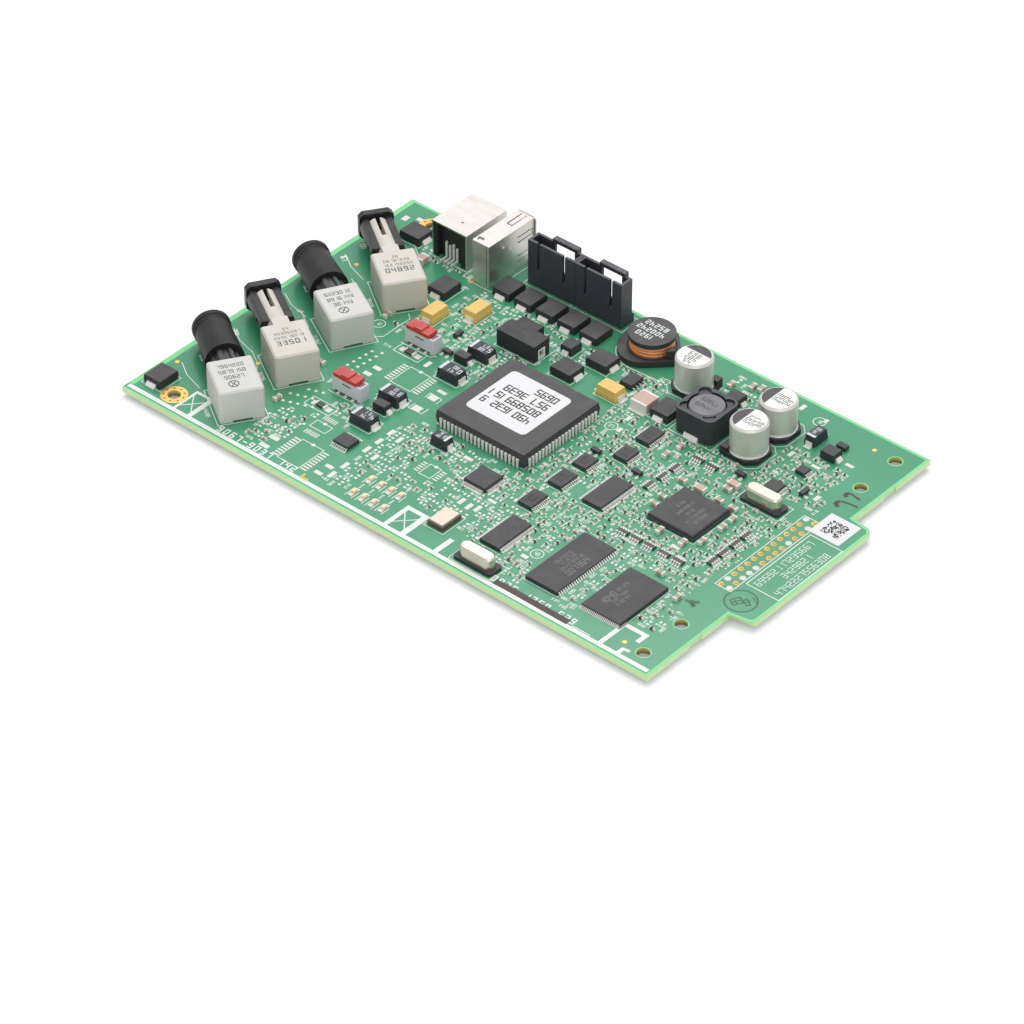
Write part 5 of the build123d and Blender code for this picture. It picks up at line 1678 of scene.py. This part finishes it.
# Places of the print and of the bodies it surrounds, in millimetres on the board
DIODES = (
    (5.5, 8.6, 5.8, 6.8),
    (12.6, 97.9, 6.8, 5.8),
    (34.4, 84.6, 5.8, 6.8),
    (81.7, 78.4, 6.8, 5.8),
    (86.2, 87.2, 6.8, 5.8),
    (76.1, 86.6, 3.7, 4.3),
    (111.6, 81.9, 5.8, 6.8),
    (56.5, 36.0, 4.1, 2.8),
    (58.3, 64.9, 4.1, 2.8),
)
YELLOW_TANTALUMS = ((39.9, 74.6, 4.3, 6.6), (47.9, 82.4, 4.3, 6.6), (95.9, 78.9, 6.6, 4.3))
BLACK_TANTALUMS = (
    (55.6, 41.0, 6.6, 4.3, -1),
    (56.7, 29.2, 6.6, 4.3, -1),
    (60.6, 57.9, 6.6, 4.3, -1),
    (60.4, 69.8, 6.6, 4.3, -1),
    (77.4, 35.3, 5.2, 3.2, 1),
)
CANS = ((109.85, 95.0, 90.0), (137.1, 95.0, 180.0), (137.15, 83.3, 180.0))
CIRCLES = ((104.4, 69.0), (123.8, 17.9), (142.9, 104.7), (31.1, 62.9))
GOLD_SPOTS = ((3.2, 16.8), (19.3, 29.9), (9.0, 78.4), (36.8, 92.2), (160.5, 104.5), (161.3, 6.3))


def random_figures(draw, count):
    """A row of random figures without a meaning."""
    return "".join(draw.choice("0123456789") for _ in range(count))


def crossed_box(pile, low_x, high_x, high_y, side, far_side, top):
    """A tall box with a thin cross, its sides and its top each with a width of their own."""
    low_y = 2.2
    pile.ribbon([(low_x, 1.2), (low_x, high_y), (high_x, high_y)], side)
    pile.ribbon([(high_x, 1.2), (high_x, high_y + top / 2)], far_side)
    pile.ribbon([(low_x, low_y + 1.4), (high_x, high_y - 1.2)], 0.28)
    pile.ribbon([(low_x, high_y - 1.2), (high_x, low_y + 0.6)], 0.28)


def make_white_print(draw):
    """White lines, boxes and plain figures of the board's print."""
    pile = Pile()
    line = 0.22
    pile.ribbon([(0.6, 1.7), (172.3, 1.7)], 1.3)
    crossed_box(pile, 16.1, 21.3, 10.8, 0.8, 1.4, 0.8)
    crossed_box(pile, 88.0, 93.8, 10.9, 1.3, 1.7, 1.3)
    pile.ribbon([(104.4, 1.2), (104.5, 8.6)], 1.5)
    pile.ribbon([(157.0, 1.2), (157.1, 11.4), (163.7, 11.4), (163.6, 8.2)], 1.3)
    pile.ribbon([(162.6, 1.2), (162.7, 4.3)], 1.2)
    pile.ribbon([(162.2, 4.0), (164.5, 4.4)], 0.9)
    pile.ribbon([(148.0, 2.7), (153.6, 2.7)], 0.3)
    pile.figures(random_figures(draw, 4) + "-" + random_figures(draw, 4) + " " + random_figures(draw, 3), 43.6, 3.7, 0.0, 1.9, 0.0, 0, 0.2, 1.1)
    pile.figures(random_figures(draw, 4) + " " + random_figures(draw, 4) + " " + random_figures(draw, 3), 134.6, 4.1, 0.0, 1.9, 0.0, 0, 0.2, 1.1)
    for x, y, yaw in RECEIVERS + TRANSMITTERS:
        shift_x, shift_y = turned(x, y, 0.0, 0.0, yaw)
        pile.ribbon(rectangle_route(shift_x, shift_y, PORT_DEPTH + 1.0, PORT_WIDTH + 1.4, yaw), line, closed=True)
        pile.ribbon([turned(x, y, 9.0, 7.4, yaw), turned(x, y, 15.5, 9.2, yaw), turned(x, y, 21.0, 9.2, yaw)], line)
        pile.ribbon([turned(x, y, 9.0, -7.4, yaw), turned(x, y, 15.5, -9.2, yaw), turned(x, y, 21.0, -9.2, yaw)], line)
        label_x, label_y = turned(x, y, -1.5, 8.0, yaw)
        pile.figures(random_figures(draw, 6), label_x, label_y, yaw, 0.9, 0.0)
    for x, y, turn in ((5.7, 35.7, -32.0), (4.4, 78.5, -32.0), (4.6, 86.0, -32.0), (6.6, 62.0, -32.0), (7.0, 22.4, -32.0)):
        pile.figures(random_figures(draw, 3), x, y, turn, 1.3, 0.0, 0, 0.2)
    for node, gap in (
        ("processor_body", -0.2), ("memory_chip_body", 0.3), ("flash_chip_body", 0.3), ("controller_package", 0.4),
        ("inductor_shell", 0.8), ("oscillator_body", 0.7), ("quad_chip_body", 0.2), ("square_socket_shell", 0.6),
        ("flat_socket_shell", 0.6), ("header_housing_1", 0.9), ("header_housing_2", 0.9), ("fuse_block", 0.5),
    ):
        low_x, low_y, high_x, high_y = board_box(node)[0]
        pile.outline((low_x, low_y, high_x, min(high_y, BOARD_SIZE[1] - 1.0 - gap)), gap)
    for x, y, size_x, size_y in DIODES + YELLOW_TANTALUMS:
        pile.outline((x - size_x / 2, y - size_y / 2, x + size_x / 2, y + size_y / 2), 0.45)
    for x, y, size_x, size_y, _ in BLACK_TANTALUMS:
        pile.outline((x - size_x / 2, y - size_y / 2, x + size_x / 2, y + size_y / 2), 0.6)
    for x, y, _ in CANS:
        pile.outline((x - 5.2, y - 5.2, x + 5.2, y + 5.2), 0.7, bevels=(2.2, 2.2))
    for x, y, length, width in SMALL_CHIPS:
        pile.ribbon([(x, y - 0.5), (x + length, y - 0.5)], line)
        pile.ribbon([(x, y + width + 0.5), (x + length, y + width + 0.5)], line)
    for x, y, length, width in CRYSTAL_BOXES:
        pile.outline((x - length / 2, y - width / 2, x + length / 2, y + width / 2), 0.7)
    for x, y in ((43.7, 27.2), (45.6, 58.7)):
        pile.outline((x - 3.6, y - 1.3, x + 3.6, y + 1.3), 0.6)
    for x, y in ((41.0, 34.3), (41.3, 61.6)):
        pile.ribbon([(x - 0.6, y - 0.9), (x + 9.4, y - 0.9), (x + 10.6, y + 0.4)], line)
    for x, y in CIRCLES:
        pile.ring(x, y, 1.55, 1.78, 0.0, INK_HEIGHT, 24)
        pile.figures(random_figures(draw, 2), x, y, 0.0, 1.1, 0.0)
    coil_x, coil_y = 91.9, 100.0
    route = [turned(coil_x, coil_y, 9.3 * math.cos(math.radians(angle)), 9.3 * math.sin(math.radians(angle)), 0.0)
             for angle in range(165, 285, 12)]
    route.extend([(101.6, 91.2), (102.4, 92.0)])
    pile.ribbon(route, 0.25)
    pile.ribbon([(163.6, 37.5), (168.5, 37.5), (168.5, 72.4), (163.6, 72.4)], line, closed=True)
    pile.ribbon([(169.4, 42.4), (179.3, 42.4), (179.3, 67.4), (169.4, 67.4)], 0.25, closed=True)
    for x, y, count in ((171.6, 54.4, 14), (174.5, 55.4, 7), (177.5, 54.0, 13)):
        pile.figures(random_figures(draw, count), x, y, 90.0, 1.85, 0.0, 0, 0.1, 0.85)
    pile.ribbon([(34.1, 57.9), (35.7, 59.5), (35.6, 66.1), (35.8, 69.6), (33.9, 71.2)], line)
    pile.ribbon([(61.0, 43.6), (60.7, 41.2), (65.1, 41.4), (65.1, 44.0)], line)
    pile.ribbon([(61.0, 47.2), (61.0, 49.4), (65.1, 49.1), (65.1, 46.8)], line)
    for x, y, size_x, size_y in ((53.2, 9.35, 7.2, 9.4), (53.2, 50.4, 6.8, 7.9), (49.6, 20.8, 5.2, 3.0), (82.4, 25.2, 3.6, 4.6)):
        pile.ribbon(rectangle_route(x, y, size_x, size_y), line, closed=True)
        pile.ring(x, y + size_y / 2, 0.0001, 0.55, 0.0, INK_HEIGHT, 10)
    pile.make("white_print_lines", [MATERIALS["white_print_and_highlight"]], slot="board")


def make_ink_marks():
    """Marker strokes, the round stamp and its smudge."""
    pile = Pile()
    pile.ribbon([(123.0, 3.2), (126.5, 3.35), (140.0, 3.15), (146.4, 3.1)], 1.9, 0.03, 0.045)
    for hook in (
        ((167.6, 80.4), (166.4, 81.2), (166.3, 82.3), (167.3, 82.9), (169.2, 83.3), (171.6, 83.5)),
        ((166.8, 84.8), (166.1, 85.6), (166.2, 86.5), (167.2, 86.7), (168.5, 86.4), (170.0, 86.2)),
    ):
        pile.ribbon(hook[:3], 1.15, 0.0, 0.015)
        pile.ribbon(hook[1:], 0.6, 0.0, 0.015)
    pile.make("marker_strokes", [MATERIALS["brown_ink_and_via_shade"]], slot="board")
    stamp = Pile()
    stamp.ring(172.6, 36.4, 3.9, 4.3, 0.0, 0.012, 32)
    stamp.figures("83", 171.8, 35.7, 60.0, 2.2, 0.0)
    stamp.figures("81", 174.4, 37.6, 60.0, 2.2, 0.0)
    for x, y, radius in ((163.9, 28.4, 0.9), (164.9, 27.6, 0.7), (165.0, 29.2, 0.6), (162.6, 28.0, 0.5)):
        stamp.disc(x, y, radius, 0.0, 0.012, 9)
    stamp.make("stamp_marks", [MATERIALS["grey_ink"]], slot="board")
    corner = Pile()
    corner.ribbon([(59.6, 4.2), (59.7, 2.6), (61.9, 2.6)], 0.7)
    corner.make("yellow_corner", [MATERIALS["yellow_print"]], slot="board")
    dots = Pile()
    for x, y in GOLD_SPOTS:
        dots.disc(x, y, 0.62, 0.0, 0.03, 14)
    dots.make("gold_spots", [MATERIALS["gold_pad"]], slot="gold")


def print_ports(draw):
    """Rows of plain figures on the ports' tops, with a round mark on the receivers."""
    pile = Pile()
    top = PORT_HEIGHT
    for x, y, yaw in RECEIVERS:
        for along, count, height in ((3.9, 7, 1.25), (1.5, 7, 1.25), (-0.9, 5, 1.3)):
            row_x, row_y = turned(x, y, along, 0.4, yaw)
            pile.figures(random_figures(draw, count), row_x, row_y, yaw - 90, height, top, 0, 0.12, 0.82)
        mark_x, mark_y = turned(x, y, -3.8, 1.2, yaw)
        pile.ring(mark_x, mark_y, 1.15, 1.4, top, top + INK_HEIGHT, 20)
        for slant in (-35, 35):
            ends = [turned(mark_x, mark_y, side * 1.1, 0.0, yaw + slant) for side in (-1, 1)]
            pile.ribbon(ends, 0.22, top, top + INK_HEIGHT)
    for x, y, yaw in TRANSMITTERS:
        for along, count, height, weight in ((4.2, 2, 0.95, 0.1), (2.5, 8, 0.95, 0.1), (0.7, 9, 0.95, 0.1), (-1.6, 5, 1.7, 0.14)):
            row_x, row_y = turned(x, y, along, 0.0, yaw)
            pile.figures(random_figures(draw, count), row_x, row_y, yaw - 90, height, top, 0, weight, 0.95)
    pile.make("port_marks", [MATERIALS["dark_mark"]], slot="port_grey")


def print_label(draw):
    """Four rows of plain black figures on the processor's label."""
    pile = Pile()
    box, top = board_box("processor_label")
    right = box[2] - 2.2
    for y, text in (
        (52.2, random_figures(draw, 7) + " " + random_figures(draw, 1)),
        (55.8, random_figures(draw, 9)),
        (59.4, random_figures(draw, 3) + " " + random_figures(draw, 4)),
        (63.0, random_figures(draw, 4)),
    ):
        height = 2.25
        span = (len(text) - 1) * 0.8 * height + height
        pile.figures(text, right - span / 2, y, 180.0, height, top, 0, 0.16, 0.8)
    pile.make("processor_label_print", [MATERIALS["label_ink"]], slot="label_white")


def print_packages(draw):
    """Figures on the moulded parts: bright on the capacitors and the coil, faint on the chips."""
    bright = Pile()
    box, top = board_box("black_tantalums")
    for x, y, size_x, size_y, end in BLACK_TANTALUMS:
        share = size_x / 6.6
        bright.block(x + end * (size_x / 2 - 0.85 * share), y, 0.9 * share, size_y * 0.86, top, top + INK_HEIGHT)
        middle = x - end * 0.55
        bright.figures(random_figures(draw, 2), middle, y - 0.85 * share, 180.0, 1.1 * share, top, 0, 0.16, 0.8)
        bright.figures(random_figures(draw, 2), middle + 0.3, y + 0.85 * share, 180.0, 1.1 * share, top, 0, 0.16, 0.8)
        bright.figures(random_figures(draw, 1), middle + 2.1 * share, y, 180.0, 1.5 * share, top, 0, 0.16, 0.8)
    bright.block(147.0, 96.0, 2.7, 0.8, top, top + INK_HEIGHT)
    for shift in (-0.4, 1.1):
        bright.figures(random_figures(draw, 2), 147.0, 98.0 + shift, 180.0, 1.0, top, 0, 0.16, 0.8)
    bright.make("capacitor_marks", [MATERIALS["bright_mark"]], slot="label_white")
    coil = Pile()
    top = board_box("coil_core")[1]
    for y, count in ((102.5, 5), (100.0, 6), (97.5, 4)):
        coil.figures(random_figures(draw, count), 91.5, y, 180.0, 1.5, top, 0, 0.18, 1.0)
    coil.make("coil_marks", [MATERIALS["white_print_and_highlight"]], slot="label_white")
    faint = Pile()
    for node, rows in (
        ("memory_chip_body", ((135.2, 19.6, 6, 1.7, 90.0), (133.2, 19.8, 11, 0.95, 90.0), (131.8, 20.4, 7, 0.95, 90.0), (130.4, 20.2, 8, 0.95, 90.0))),
        ("flash_chip_body", ((148.6, 15.4, 4, 1.7, 90.0), (148.5, 20.8, 5, 1.0, 90.0), (150.3, 17.6, 8, 0.9, 90.0), (151.9, 17.0, 7, 0.9, 90.0))),
        ("controller_package", ((139.0, 54.4, 4, 0.9, 90.0), (140.9, 53.9, 9, 0.9, 90.0), (142.8, 53.4, 4, 0.9, 90.0), (144.7, 53.0, 10, 0.9, 90.0), (146.4, 53.0, 7, 0.9, 90.0))),
    ):
        top = board_box(node)[1]
        for x, y, count, height, turn in rows:
            faint.figures(random_figures(draw, count), x, y, turn, height, top, 0, 0.1, 0.8)
    faint.make("chip_marks", [MATERIALS["chip_mark"]], slot="chip_black")
    dim = Pile()
    top = board_box("logic_chip_bodies")[1]
    for x, y, length, width in SMALL_CHIPS[2:7]:
        for shift in (-0.9, 0.5):
            dim.figures(random_figures(draw, 5), x + length / 2 + shift, y + width / 2, 90.0, 0.75, top, 0, 0.1, 0.85)
    top = board_box("bus_chip_bodies")[1]
    for x, y, length, width in SMALL_CHIPS[:2]:
        for shift in (-1.2, 0.2, 1.4):
            dim.figures(random_figures(draw, 9), x + length / 2 + shift, y + width / 2, 90.0, 0.8, top, 0, 0.1, 0.85)
    top = board_box("quad_chip_body")[1]
    for shift in (-1.6, 0.0, 1.6):
        dim.figures(random_figures(draw, 6), 95.1, 30.9 + shift, 0.0, 0.8, top, 0, 0.1, 0.85)
    top = board_box("surge_diode_bodies")[1]
    for x, y, size_x, size_y in DIODES:
        if size_x > 5:
            turn = 0.0 if size_y > size_x else 90.0
            dim.figures(random_figures(draw, 3), x, y - 0.7, turn, 1.0, top, 0, 0.1, 0.85)
            dim.figures(random_figures(draw, 3), x, y + 0.9, turn, 1.0, top, 0, 0.1, 0.85)
    top = board_box("fuse_block")[1]
    dim.figures(random_figures(draw, 6), 66.0, 79.6, 0.0, 1.2, top, 0, 0.1, 0.85)
    dim.make("faint_marks", [MATERIALS["faint_mark"]], slot="chip_black")


def print_cans(draw):
    """The dark segment and three rows of figures on each can, with the bright rolled rim at its foot."""
    pile = Pile()
    rims = Pile()
    tops = Pile()
    top = board_box("capacitor_cans")[1]
    for x, y, facing in CANS:
        radius = 4.36
        reach = 1.5
        half = math.degrees(math.acos(reach / radius))
        arc = []
        for step in range(13):
            angle = -half + 2 * half * step / 12
            arc_x, arc_y = turned(x, y, radius * math.cos(math.radians(angle)), radius * math.sin(math.radians(angle)), facing)
            point = spot(arc_x, arc_y)
            arc.append((point.x, point.y))
        pile.prism(arc, level(top), level(top + INK_HEIGHT))
        tops.disc(x, y, 4.5, top, top + 0.012, 48)
        for along, count in ((0.3, 3), (-1.5, 3), (-3.2, 2)):
            row_x, row_y = turned(x, y, along, 0.0, facing)
            pile.figures(random_figures(draw, count), row_x, row_y, facing - 90, 1.35, top, 1, 0.13, 0.95)
        rims.ring(x, y, 4.85, 5.12, 1.32, 1.75, 40)
    pile.make("can_marks", [MATERIALS["can_print"], MATERIALS["can_figures"]], slot="can_metal")
    tops.make("can_tops", [MATERIALS["can_top"]], slot="can_metal")
    smooth(rims.make("can_rims", [MATERIALS["can_rim"]], slot="can_metal"))


def print_inductor(draw):
    """Two faint rows on the inductor's core."""
    pile = Pile()
    top = board_box("inductor_core")[1]
    for y, count in ((83.2, 5), (85.6, 5)):
        pile.figures(random_figures(draw, count), 122.8, y, 180.0, 1.25, top, 0, 0.12, 0.9)
    pile.make("inductor_marks", [MATERIALS["core_mark"]], slot="ferrite")


def print_sticker(draw):
    """A random pattern of squares on the paper sticker."""
    pile = Pile()
    box, top = board_box("code_sticker")
    middle_x, middle_y = (box[0] + box[2]) / 2, (box[1] + box[3]) / 2
    cells = 18
    cell = 0.3
    for column in range(cells):
        for line in range(cells):
            if draw.random() < 0.48:
                x = middle_x + (column - (cells - 1) / 2) * cell
                y = middle_y + (line - (cells - 1) / 2) * cell
                pile.block(x, y, cell * 0.98, cell * 0.98, top, top + INK_HEIGHT)
    pile.make("sticker_pattern", [MATERIALS["label_ink"]], slot="label_white")


def mark_shells(draw):
    """Pressed details of the two serial sockets, with painted shade in the flat shell's tongue slit, side slots and
    front seam and in a notch on the square shell, and painted highlights on two dimples.
    """
    dark = Pile()
    bright = Pile()
    box, top = board_box("flat_socket_shell")
    middle = (box[0] + box[2]) / 2
    # Painted shade: a dark line in the slit round the flat shell's tongue, and a dark notch on the square shell
    dark.ribbon([(middle - 2.0, box[1] + 1.0), (middle - 2.0, box[1] + 1.9), (middle - 0.4, box[1] + 1.9)], 0.35, top, top + 0.01)
    square, square_top = board_box("square_socket_shell")
    dark.block((square[0] + square[2]) / 2 + 1.0, square[1] + 4.2, 0.6, 0.5, square_top, square_top + 0.01)
    # Painted highlights: two white squares on the dimples at the flat shell's end
    for y, height in ((box[1] + 5.2, 10.4), (box[1] + 8.0, 8.6)):
        bright.block(box[2] - 0.01, y, 0.06, 0.8, height, height + 0.8)
    # Painted shade: dark lines in the flat shell's side slots and in its front seam
    side = box[0] + 5.7
    for y in (95.6, 102.2, 103.2):
        dark.block(side, y, 0.04, 0.22, 0.5, 2.6)
    for height in (3.7, 9.6):
        for cut in (-0.825, 0.825):
            dark.block(side, 107.2, 0.03, 5.9, height + cut - 0.16, height + cut + 0.16)
    for low, high in ((0.5, 5.6), (6.0, 12.4)):
        dark.block(side - 0.45, box[1], 0.16, 0.03, low, high)
    dark.make("shell_shade_lines", [MATERIALS["socket_black_and_slot_shade"]], slot="shell_metal")
    bright.make("shell_dimple_highlights", [MATERIALS["white_print_and_highlight"]], slot="shell_metal")


def shade_switches(draw):
    """Painted shade: a dark red bar for the red slider in shadow inside each switch's slot, and a dark strip for the
    shaded gap under its housing.
    """
    pile = Pile()
    for node in ("switch_housing_1", "switch_housing_2"):
        box, _ = board_box(node)
        middle = (box[0] + box[2]) / 2
        pile.block(middle, box[1] + 0.12, 2.9, 0.14, 3.08, 3.52)
        pile.block(middle - 0.2, box[1], 7.6, 0.03, 0.05, 0.5)
    pile.make("switch_shades", [MATERIALS["slot_shade"]], slot="switch_grey")


def make_markings(draw):
    """Plain figures and patterns in place of all lettering, with painted shade on the switches and painted shade and
    highlights on the socket shells.
    """
    for step in (shade_switches, mark_shells, print_ports, print_label, print_packages, print_cans, print_inductor, print_sticker):
        step(draw)


def make_floor():
    """Plain white floor that keeps the object's shadow."""
    mesh = bpy.data.meshes.new("floor")
    reach = 3.0
    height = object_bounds()[0][2]
    mesh.from_pydata(
        [(-reach, -reach, height), (reach, -reach, height), (reach, reach, height), (-reach, reach, height)],
        [],
        [(0, 1, 2, 3)],
    )
    floor = bpy.data.objects.new("floor", mesh)
    bpy.context.scene.collection.objects.link(floor)
    material = bpy.data.materials.new("floor_white")
    material.use_nodes = True
    nodes, links = material.node_tree.nodes, material.node_tree.links
    nodes.clear()
    output = nodes.new("ShaderNodeOutputMaterial")
    diffuse = nodes.new("ShaderNodeBsdfDiffuse")
    diffuse.inputs["Color"].default_value = (0.8, 0.8, 0.8, 1.0)
    glow = nodes.new("ShaderNodeEmission")
    glow.inputs["Strength"].default_value = 0.25
    both = nodes.new("ShaderNodeAddShader")
    links.new(diffuse.outputs[0], both.inputs[0])
    links.new(glow.outputs[0], both.inputs[1])
    path = nodes.new("ShaderNodeLightPath")
    seen = nodes.new("ShaderNodeMixShader")
    links.new(path.outputs["Is Camera Ray"], seen.inputs[0])
    links.new(diffuse.outputs[0], seen.inputs[1])
    links.new(both.outputs[0], seen.inputs[2])
    links.new(seen.outputs[0], output.inputs["Surface"])
    mesh.materials.append(material)
    floor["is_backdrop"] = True


def make_lights(settings):
    """A large soft lamp overhead, a weaker one from the front, and an even world."""
    scene = bpy.context.scene
    world = bpy.data.worlds.new("studio")
    scene.world = world
    world.use_nodes = True
    nodes, links = world.node_tree.nodes, world.node_tree.links
    nodes.clear()
    output = nodes.new("ShaderNodeOutputWorld")
    light = nodes.new("ShaderNodeBackground")
    light.inputs["Color"].default_value = (1.0, 1.0, 1.0, 1.0)
    light.inputs["Strength"].default_value = settings.world_strength
    shown = nodes.new("ShaderNodeBackground")
    shown.inputs["Color"].default_value = (1.0, 1.0, 1.0, 1.0)
    path = nodes.new("ShaderNodeLightPath")
    mix = nodes.new("ShaderNodeMixShader")
    links.new(path.outputs["Is Camera Ray"], mix.inputs[0])
    links.new(light.outputs[0], mix.inputs[1])
    links.new(shown.outputs[0], mix.inputs[2])
    links.new(mix.outputs[0], output.inputs["Surface"])
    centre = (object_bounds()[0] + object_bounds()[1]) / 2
    for name, place, size, power in (
        ("key", Vector((-0.25, 0.35, 0.9)), 0.7, settings.key_power),
        ("fill", Vector((0.6, -0.5, 0.6)), 0.6, settings.key_power * 0.25),
    ):
        data = bpy.data.lights.new(name, "AREA")
        data.shape = "SQUARE"
        data.size = size
        data.energy = power
        lamp = bpy.data.objects.new(name, data)
        lamp.location = centre + place
        lamp.rotation_mode = "QUATERNION"
        lamp.rotation_quaternion = (-place).to_track_quat("-Z", "Y")
        scene.collection.objects.link(lamp)


def make_camera(settings):
    """The photograph's camera, found by fitting known sizes."""
    aim = spot(108.4, 26.3)
    turn, lift = settings.azimuth, settings.elevation
    back = Vector((math.sin(turn) * math.cos(lift), -math.cos(turn) * math.cos(lift), math.sin(lift)))
    right = Vector((math.cos(turn), math.sin(turn), 0.0))
    up = back.cross(right)
    data = bpy.data.cameras.new("view")
    data.lens = settings.lens
    data.sensor_width = 36.0
    data.clip_start = 0.05
    data.clip_end = 20.0
    camera = bpy.data.objects.new("view", data)
    pose = Matrix((right, up, back)).transposed().to_4x4()
    pose.translation = aim + back * settings.distance
    camera.matrix_world = pose
    bpy.context.scene.collection.objects.link(camera)
    bpy.context.scene.camera = camera


class CARD_PT_panel(bpy.types.Panel):
    """Lists the card's steps and settings"""

    bl_idname = "CARD_PT_panel"
    bl_label = "Network card"
    bl_space_type = "VIEW_3D"
    bl_region_type = "UI"
    bl_category = "Network card"

    def draw(self, context):
        layout = self.layout
        for operator in OPERATORS:
            layout.operator(operator.bl_idname)
        for owner in (context.scene.card_board, context.scene.card_parts, context.scene.card_stage):
            box = layout.box()
            for key in owner.__annotations__:
                box.prop(owner, key)


OPERATORS = (
    CARD_OT_finishes,
    CARD_OT_board_print,
    CARD_OT_small_parts,
    CARD_OT_loose_parts,
    CARD_OT_header_holes,
    CARD_OT_coil_wire,
    CARD_OT_markings,
    CARD_OT_stage,
)
SETTINGS = (("card_board", BoardSettings), ("card_parts", PartSettings), ("card_stage", StageSettings))


def register():
    """Registers the settings, the steps and the panel."""
    for name, group in SETTINGS:
        bpy.utils.register_class(group)
        setattr(bpy.types.Scene, name, PointerProperty(type=group))
    for operator in OPERATORS:
        bpy.utils.register_class(operator)
    bpy.utils.register_class(CARD_PT_panel)


def unregister():
    """Takes everything out again, in the opposite order."""
    bpy.utils.unregister_class(CARD_PT_panel)
    for operator in reversed(OPERATORS):
        bpy.utils.unregister_class(operator)
    for name, group in reversed(SETTINGS):
        delattr(bpy.types.Scene, name)
        bpy.utils.unregister_class(group)


def main():
    """Runs every step in order."""
    register()
    for operator in OPERATORS:
        group, name = operator.bl_idname.split(".")
        getattr(getattr(bpy.ops, group), name)()


if __name__ == "__main__":
    main()
